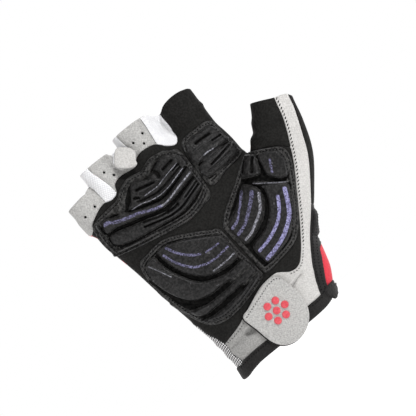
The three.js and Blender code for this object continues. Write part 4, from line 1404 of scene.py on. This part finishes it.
def add_bindings():
    """Rounded tapes round the cuff and up the thumb side, the latter with a folded end."""
    middle = (BINDING_PROUD - LEATHER - BINDING_INNER) / 2
    half = BINDING_PROUD - middle
    for name in ("cuff_binding", "side_binding"):
        surface = PANELS[name]
        upright = name == "side_binding"
        surface = with_rows(settled(refined(surface)) if upright else surface, BINDING_ROLL)
        x, _, z = surface[0].T
        share = rounded(border_distance(surface), BINDING_ROLL)
        if upright:
            share *= np.clip((49 - z) / 7, 0.2, 1)
        top = middle + half * share
        if upright:
            loop = -in_outline(surface, smooth_line(LOOP_OUTLINE, closed=True))
            top += LOOP_HEIGHT * rounded(loop, LOOP_ROLL) * share
            top += 0.13 * np.cos((0.6 * x + 0.8 * z) * 2 * math.pi / 1.7) * share
        points, faces = closed_sheet(surface, top, middle - half * share)
        make_piece(name, points, faces, [BLACK_TAPE], [name])


def add_tape_end():
    """The folded end of the cuff tape, a small pillow at the thumb side."""
    surface = cut_out(WHOLE_SKIN, smooth_line(TAPE_END, closed=True))
    surface = part_inside(surface, side_seam_gap(surface[0]) - 3)[0]
    surface = with_rows(surface, 1.2)
    share = rounded(border_distance(surface), 1.2)
    ribs = 0.16 * np.cos(surface[0][:, 0] * 2 * math.pi / 1.4)
    top = 1.2 + (0.6 + ribs) * share
    points, faces = closed_sheet(surface, top, 1.2 - 0.7 * share, folds=False)
    make_piece("cuff_tape_end", points, faces, [BLACK_TAPE])


# Pads


def front_part(surface):
    """The palm side of a surface."""
    return part_inside(surface, side_seam_gap(surface[0]))[0]


def pad_height(name, x, z):
    """Height of a pad's face over the skin."""
    pad = PADS[name]
    patch = -outline_distance(x, z, smooth_line(pad["patch"], closed=True))
    base = 0.3 + PATCH
    height = 0.1 + (base - 0.1) * rounded(patch, PATCH_ROLL)
    for outline in pad["cushions"].values():
        inside = -outline_distance(x, z, smooth_line(outline, closed=True))
        height += (CUSHION - 0.1) * rounded(inside, CUSHION_ROLL)
        height += CUSHION_CROWN * rounded(inside, 6.5)
        height -= 0.55 * np.exp(-((inside + 0.5) / 0.8) ** 2) * np.clip((patch - 2.4) / 2, 0, 1)
    for place, rise, half, line in RIBS:
        if place == name:
            height += ridge(x, z, rise, half, line)
    height = np.maximum(height, 0.35 * rounded(patch, 1.0) + 0.2)
    for place, line in PAD_SEAMS:
        if place == name:
            gap = line_distance(x, z, smooth_line(line))
            height += 0.45 * np.exp(-((gap - 0.95) / 0.45) ** 2)
    return height


def add_pad(name):
    """One sewn patch with its moulded cushions and printed stripes, painted shade on its low ground and
    in its slots, and painted highlights along its ridges.
    """
    pad = PADS[name]
    patch = smooth_line(pad["patch"], closed=True)
    surface = cut_out(front_part(SKIN), patch)
    surface = settled(refined(refined(surface)))
    for place, width, _, line in STRIPES:
        if place == name:
            x, z = surface[0][:, 0], surface[0][:, 2]
            value = line_distance(x, z, smooth_line(line)) - width / 2
            points, faces, _ = split(*surface, value, snap=0.05)
            surface = compact(points, faces)
    surface = with_rows(surface, 1.0, (0.3, 1.0))
    x, z = surface[0][:, 0], surface[0][:, 2]
    top = pad_height(name, x, z)
    bottom = np.full(len(x), 0.12)
    count = len(surface[1])
    middle = surface[0][surface[1]].mean(1)
    mx, mz = middle[:, 0], middle[:, 2]
    print_number = np.zeros(2 * count, int)
    outside = np.ones(count, bool)
    for outline in pad["cushions"].values():
        outside &= outline_distance(mx, mz, smooth_line(outline, closed=True)) > -0.3
    # Faces of the low ground and of the deep slots take painted shade
    low = (top[surface[1]].mean(1) < SHADED_GROUND_HEIGHT) & (-outline_distance(mx, mz, patch) > 2.4)
    print_number[:count][outside] = PRINTS.index("border")
    print_number[:count][outside & low] = PRINTS.index("shaded_ground")
    for place, rise, half, line in RIBS:
        if place == name and rise < -1.15:
            slot = line_distance(mx, mz, smooth_line(line)) < 0.75 * half
            print_number[:count][slot] = PRINTS.index("shaded_ground")
    for place, width, print_name, line in STRIPES:
        if place == name:
            gap = line_distance(mx, mz, smooth_line(line)) - width / 2
            print_number[:count][gap < 0] = PRINTS.index(print_name)
    points, faces = closed_sheet(surface, top, bottom)
    nodes = [f"{name}_patch"] + [f"{name}_cushion_{part}" for part in pad["cushions"]]
    looks = [GEL_LOOK, PURPLE, VIOLET, SILVER_PRINT_AND_HIGHLIGHT, SHADED_GROUND_LOOK, BORDER_LOOK]
    piece = make_piece(name, points, faces, looks, nodes, print_number)
    return piece


# Strap, dots and tab


def strap_sheet(shift, radius, half):
    """A closed sheet of the strap's outline over the bindings."""
    outline = smooth_line(STRAP_OUTLINE, closed=True) + np.array(shift)
    surface = settled(refined(cut_out(front_part(WHOLE_SKIN), outline)))
    surface = with_rows(surface, radius)
    share = rounded(border_distance(surface), radius)
    middle = BINDING_PROUD + SEAM_GAP + half
    return closed_sheet(surface, middle + half * share, middle - half * share, folds=False)


def add_strap():
    """The suede strap with its round end."""
    points, faces = strap_sheet([0, 0], 1.1, STRAP / 2)
    return make_piece(
        "closure_strap", points, faces, [GREY_SUEDE], ["closure_strap"])


def add_strap_backing_and_shadow():
    """Black backing of the strap, seen as a thin rim on its far side; the rim also stands in for the
    strap's shadow along its left edge.
    """
    points, faces = strap_sheet([-0.75, -0.2], 0.5, 0.2)
    make_piece("strap_backing_and_shadow", points, faces, [BLACK_TAPE])


def facing_tree(*pieces):
    """A search tree over some pieces, in millimetres."""
    points, faces, start = [], [], 0
    for piece in pieces:
        mesh = piece.data
        place = np.zeros(len(mesh.vertices) * 3)
        mesh.vertices.foreach_get("co", place)
        points += (place.reshape(-1, 3) / MM).tolist()
        faces += [[start + n for n in face.vertices] for face in mesh.polygons]
        start = len(points)
    return BVHTree.FromPolygons(points, faces)


def on_front(tree, x, z, side=-1):
    """The point and the outward direction of a piece's front or back face at x and z."""
    place, direction, _, _ = tree.ray_cast((x, 60 * side, z), (0, -side, 0))
    return place, direction


def ellipsoid(centre, along, out, length, width, height, around=6):
    """A small rounded body along a direction."""
    side = along.cross(out).normalized()
    out = side.cross(along).normalized()
    points, faces = [], []
    rings = 3
    for ring in range(1, rings + 1):
        lean = math.pi * ring / (rings + 1)
        for step in range(around):
            turn = 2 * math.pi * step / around
            points.append(
                centre + along * (length / 2 * math.cos(lean))
                + side * (width / 2 * math.sin(lean) * math.cos(turn))
                + out * (height / 2 * math.sin(lean) * math.sin(turn)))
    points += [centre + along * (length / 2), centre - along * (length / 2)]
    for ring in range(rings - 1):
        for step in range(around):
            a, b = ring * around + step, ring * around + (step + 1) % around
            faces += [(a, a + around, b), (b, a + around, b + around)]
    last = (rings - 1) * around
    for step in range(around):
        turned = (step + 1) % around
        faces += [(rings * around, step, turned), (rings * around + 1, last + turned, last + step)]
    return points, faces


def add_stitches(
        name, pieces, lines, look, length=1.5, pitch=2.2, width=0.55, side=-1, slant=0.0):
    """Rows of stitches lying on some pieces."""
    tree = facing_tree(*pieces)
    stitches = []
    for line in lines:
        path = smooth_line(line, parts=4)
        steps = np.linalg.norm(np.diff(path, axis=0), axis=1)
        run = np.concatenate([[0], np.cumsum(steps)])
        ahead = np.gradient(path, axis=0)
        across = slant * np.column_stack([ahead[:, 1], -ahead[:, 0]])
        across /= np.linalg.norm(ahead, axis=1)[:, None]
        for place in np.arange(pitch / 2, run[-1], pitch):
            ends = []
            for shift in (-length / 2, length / 2):
                shifted = path + np.sign(shift) * across
                x = np.interp(place + shift, run, shifted[:, 0])
                z = np.interp(place + shift, run, shifted[:, 1])
                spot, direction = on_front(tree, x, z, side)
                if spot is not None:
                    ends.append((spot, direction))
            if len(ends) < 2:
                continue
            (a, out_a), (b, out_b) = ends
            along = b - a
            if along.length < 0.2 or along.length > 2 * length:
                continue
            out = (out_a + out_b).normalized()
            centre = (a + b) / 2 + out * STITCH_LIFT
            stitches.append(ellipsoid(
                centre, along.normalized(), out, along.length, width, 0.6 * width))
    return make_bodies(name, stitches, look)


def add_dots(strap):
    """Seven grip dots with rounded rims, seated on the strap."""
    tree = facing_tree(strap)
    places = [(0, 0)]
    for step in range(6):
        angle = math.pi * step / 3
        places.append((DOT_PITCH * math.cos(angle), DOT_PITCH * math.sin(angle)))
    rings = [(1.0, -0.35), (1.0, 0.35), (0.93, 0.62), (0.8, 0.76), (0.45, 0.84)]
    around = 32
    for number, (x, z) in enumerate(places, 1):
        spot, out = on_front(tree, DOT_CENTRE[0] + x, DOT_CENTRE[1] + z)
        side = out.cross(Vector((0, 0, 1))).normalized()
        up = side.cross(out).normalized()
        points, faces = [], []
        for share, rise in rings:
            for step in range(around):
                turn = 2 * math.pi * step / around
                reach = DOT_RADIUS * share
                points.append(
                    spot + side * (reach * math.cos(turn)) + up * (reach * math.sin(turn))
                    + out * rise)
        points += [spot + out * 0.87, spot - out * 0.35]
        top = len(rings) * around
        for ring in range(len(rings) - 1):
            for step in range(around):
                a, b = ring * around + step, ring * around + (step + 1) % around
                faces += [(a, b, a + around), (b, b + around, a + around)]
        for step in range(around):
            turned = (step + 1) % around
            faces.append((top - around + step, top - around + turned, top))
            faces.append((turned, step, top + 1))
        name = f"grip_dot_{number}"
        make_bodies(name, [(points, faces)], RED_RUBBER, [name])


def add_tab():
    """A small pillowed pull tab between two fingers."""
    outline = smooth_line(TAB_OUTLINE, closed=True, parts=4)
    low, high = outline.min(0) - 1, outline.max(0) + 1
    step = 0.6
    gx, gz = np.meshgrid(np.arange(low[0], high[0], step), np.arange(low[1], high[1], step),
                         indexing="ij")
    rows, columns = gx.shape
    number = np.arange(rows * columns).reshape(rows, columns)
    a, b = number[:-1, :-1].ravel(), number[1:, :-1].ravel()
    c, d = number[1:, 1:].ravel(), number[:-1, 1:].ravel()
    faces = np.vstack([np.column_stack([a, b, c]), np.column_stack([a, c, d])])
    face_y = FINGER_LEAN - FINGER_DEPTH / 2 - 1.0
    points = np.column_stack([gx.ravel(), np.full(gx.size, face_y + TAB_THICKNESS), gz.ravel()])
    surface = with_rows(cut_out((points, faces), outline), 0.8)
    distance = border_distance(surface)
    share = rounded(distance, 0.8)
    front, rear = surface[0].copy(), surface[0].copy()
    front[:, 1] -= TAB_THICKNESS * (1 + share) + 0.4 * rounded(distance, 5.0)
    rear[:, 1] -= TAB_THICKNESS * (1 - share)
    points, faces = closed_between(surface, front, rear)
    return make_piece("web_tab", points, faces, [PALE_SUEDE], ["web_tab"])


def build_glove():
    """All the pieces, then the stitches on them."""
    add_leather_panels()
    add_cloth_panels()
    add_stalls()
    add_vent_shade_discs()
    add_gussets()
    add_side_mesh()
    add_bindings()
    add_tape_end()
    pads = {name: add_pad(name) for name in PADS}
    strap = add_strap()
    add_strap_backing_and_shadow()
    add_dots(strap)
    add_tab()
    for name, piece in pads.items():
        lines = [line for place, line in PAD_SEAMS if place == name]
        add_stitches(f"{name}_stitches", [piece], lines, BLACK_THREAD,
                     length=1.1, pitch=1.75, width=0.75)
    add_stitches("back_stitches", [PIECES["back_panel"], PIECES["thumb_back"]], BACK_SEAMS,
                 RED_THREAD, side=1)
    add_stitches("thumb_hem_stitches", [PIECES["thumb_back"]], [THUMB_HEM_SEAM], BLACK_THREAD,
                 side=1)
    add_stitches("stall_edge_thread", [PIECES["middle_stall"]], [beside(MIDDLE_RIGHT_SEAM, -0.5)],
                 GREY_THREAD, length=1.3, pitch=1.2, width=0.42)
    for name in ("wrist_band", "closure_strap", "cuff_binding", "side_binding"):
        lines = [beside(line, gap) for place, line, gap in CLOTH_SEAMS if place == name]
        tape = name.endswith("binding")
        look, slot = (BLACK_THREAD, "black_tape") if tape else (GREY_THREAD, "grey_suede")
        add_stitches(f"{name}_stitches", [PIECES[name]], lines, look,
                     length=0.75, pitch=1.65, width=0.78)
    edge = THUMB_STRIP_INNER[1:] + PALM_BOTTOM[1:5]
    add_stitches("thumb_strip_stitches_upper", [PIECES["thumb_strip"]], [beside(edge, -1.1)],
                 BLACK_THREAD, length=1.3, pitch=1.9, width=0.65, slant=0.5)
    add_stitches("thumb_strip_stitches_lower", [PIECES["thumb_strip"]],
                 [beside(PALM_BOTTOM[4:9], -1.1)], GREY_THREAD, length=0.9,
                 pitch=1.65, width=0.6, slant=0.2)


# Camera, light and floor


def add_object(name, data):
    thing = bpy.data.objects.new(name, data)
    bpy.context.scene.collection.objects.link(thing)
    return thing


def add_camera():
    """A long lens that faces the palm, rolled as far as the glove leans in the frame."""
    data = bpy.data.cameras.new("camera")
    data.lens = 200
    data.sensor_width = 36
    data.clip_end = 10
    camera = add_object("camera", data)
    roll = math.radians(FRAME_TURN)
    width = FRAME_PIXELS * MM_PER_PIXEL * MM
    distance = width * data.lens / data.sensor_width
    right = Vector((math.cos(roll), 0, -math.sin(roll)))
    up = Vector((math.sin(roll), 0, math.cos(roll)))
    back = right.cross(up)
    centre = Vector((FRAME_CENTRE[0] * MM, 0, FRAME_CENTRE[1] * MM))
    place = centre + back * (distance + PALM_LEVEL * MM)
    camera.matrix_world = Matrix((
        (right.x, up.x, back.x, place.x),
        (right.y, up.y, back.y, place.y),
        (right.z, up.z, back.z, place.z),
        (0, 0, 0, 1)))
    bpy.context.scene.camera = camera


def add_light(name, place, target, size, power):
    """A square light that faces a target."""
    data = bpy.data.lights.new(name, "AREA")
    data.size = size
    data.energy = power
    light = add_object(name, data)
    light.location = place
    aim = Vector(target) - Vector(place)
    light.rotation_euler = aim.to_track_quat("-Z", "Y").to_euler()


def add_stage():
    """A pale round floor."""
    mesh = bpy.data.meshes.new("floor")
    turns = [2 * math.pi * n / FLOOR_SIDES for n in range(FLOOR_SIDES)]
    corners = [(FLOOR_RADIUS * math.cos(t), FLOOR_RADIUS * math.sin(t), FLOOR_LEVEL) for t in turns]
    mesh.from_pydata(corners, [], [tuple(range(FLOOR_SIDES))])
    look = Look("floor", 0.9, Specular_IOR_Level=0.1, Emission_Color=(1, 1, 1, 1),
                Emission_Strength=0.55)
    shade = look.noise(400, 2.0)
    look.finish(look.ramp(shade, [(0.3, (0.9, 0.9, 0.9)), (0.7, (0.92, 0.92, 0.92))]), shade, 0.01)
    mesh.materials.append(look.material)
    add_object("floor", mesh)


def add_world():
    """White behind the glove and softer in front of it."""
    world = bpy.data.worlds.new("studio")
    world.use_nodes = True
    tree = world.node_tree
    background = tree.nodes["Background"]
    background.inputs["Color"].default_value = (1, 1, 1, 1)
    place = tree.nodes.new("ShaderNodeTexCoord")
    parts = tree.nodes.new("ShaderNodeSeparateXYZ")
    level = tree.nodes.new("ShaderNodeMapRange")
    level.interpolation_type = "SMOOTHSTEP"
    for socket, value in zip(("From Min", "From Max", "To Min", "To Max"), (-0.2, 0.85, 0.3, 1.0)):
        level.inputs[socket].default_value = value
    tree.links.new(place.outputs["Generated"], parts.inputs[0])
    tree.links.new(parts.outputs["Y"], level.inputs["Value"])
    tree.links.new(level.outputs[0], background.inputs["Strength"])
    bpy.context.scene.world = world
    bpy.context.scene.view_settings.view_transform = "Standard"
    bpy.context.scene.view_settings.look = "None"


add_camera()
add_world()
add_stage()
add_light("key", (0.6, -0.62, 0.75), (0, 0, 0.07), 0.22, 8.5)
add_light("fill", (-0.7, -0.6, 0.2), (0, 0, 0.07), 0.5, 1.8)
build_glove()
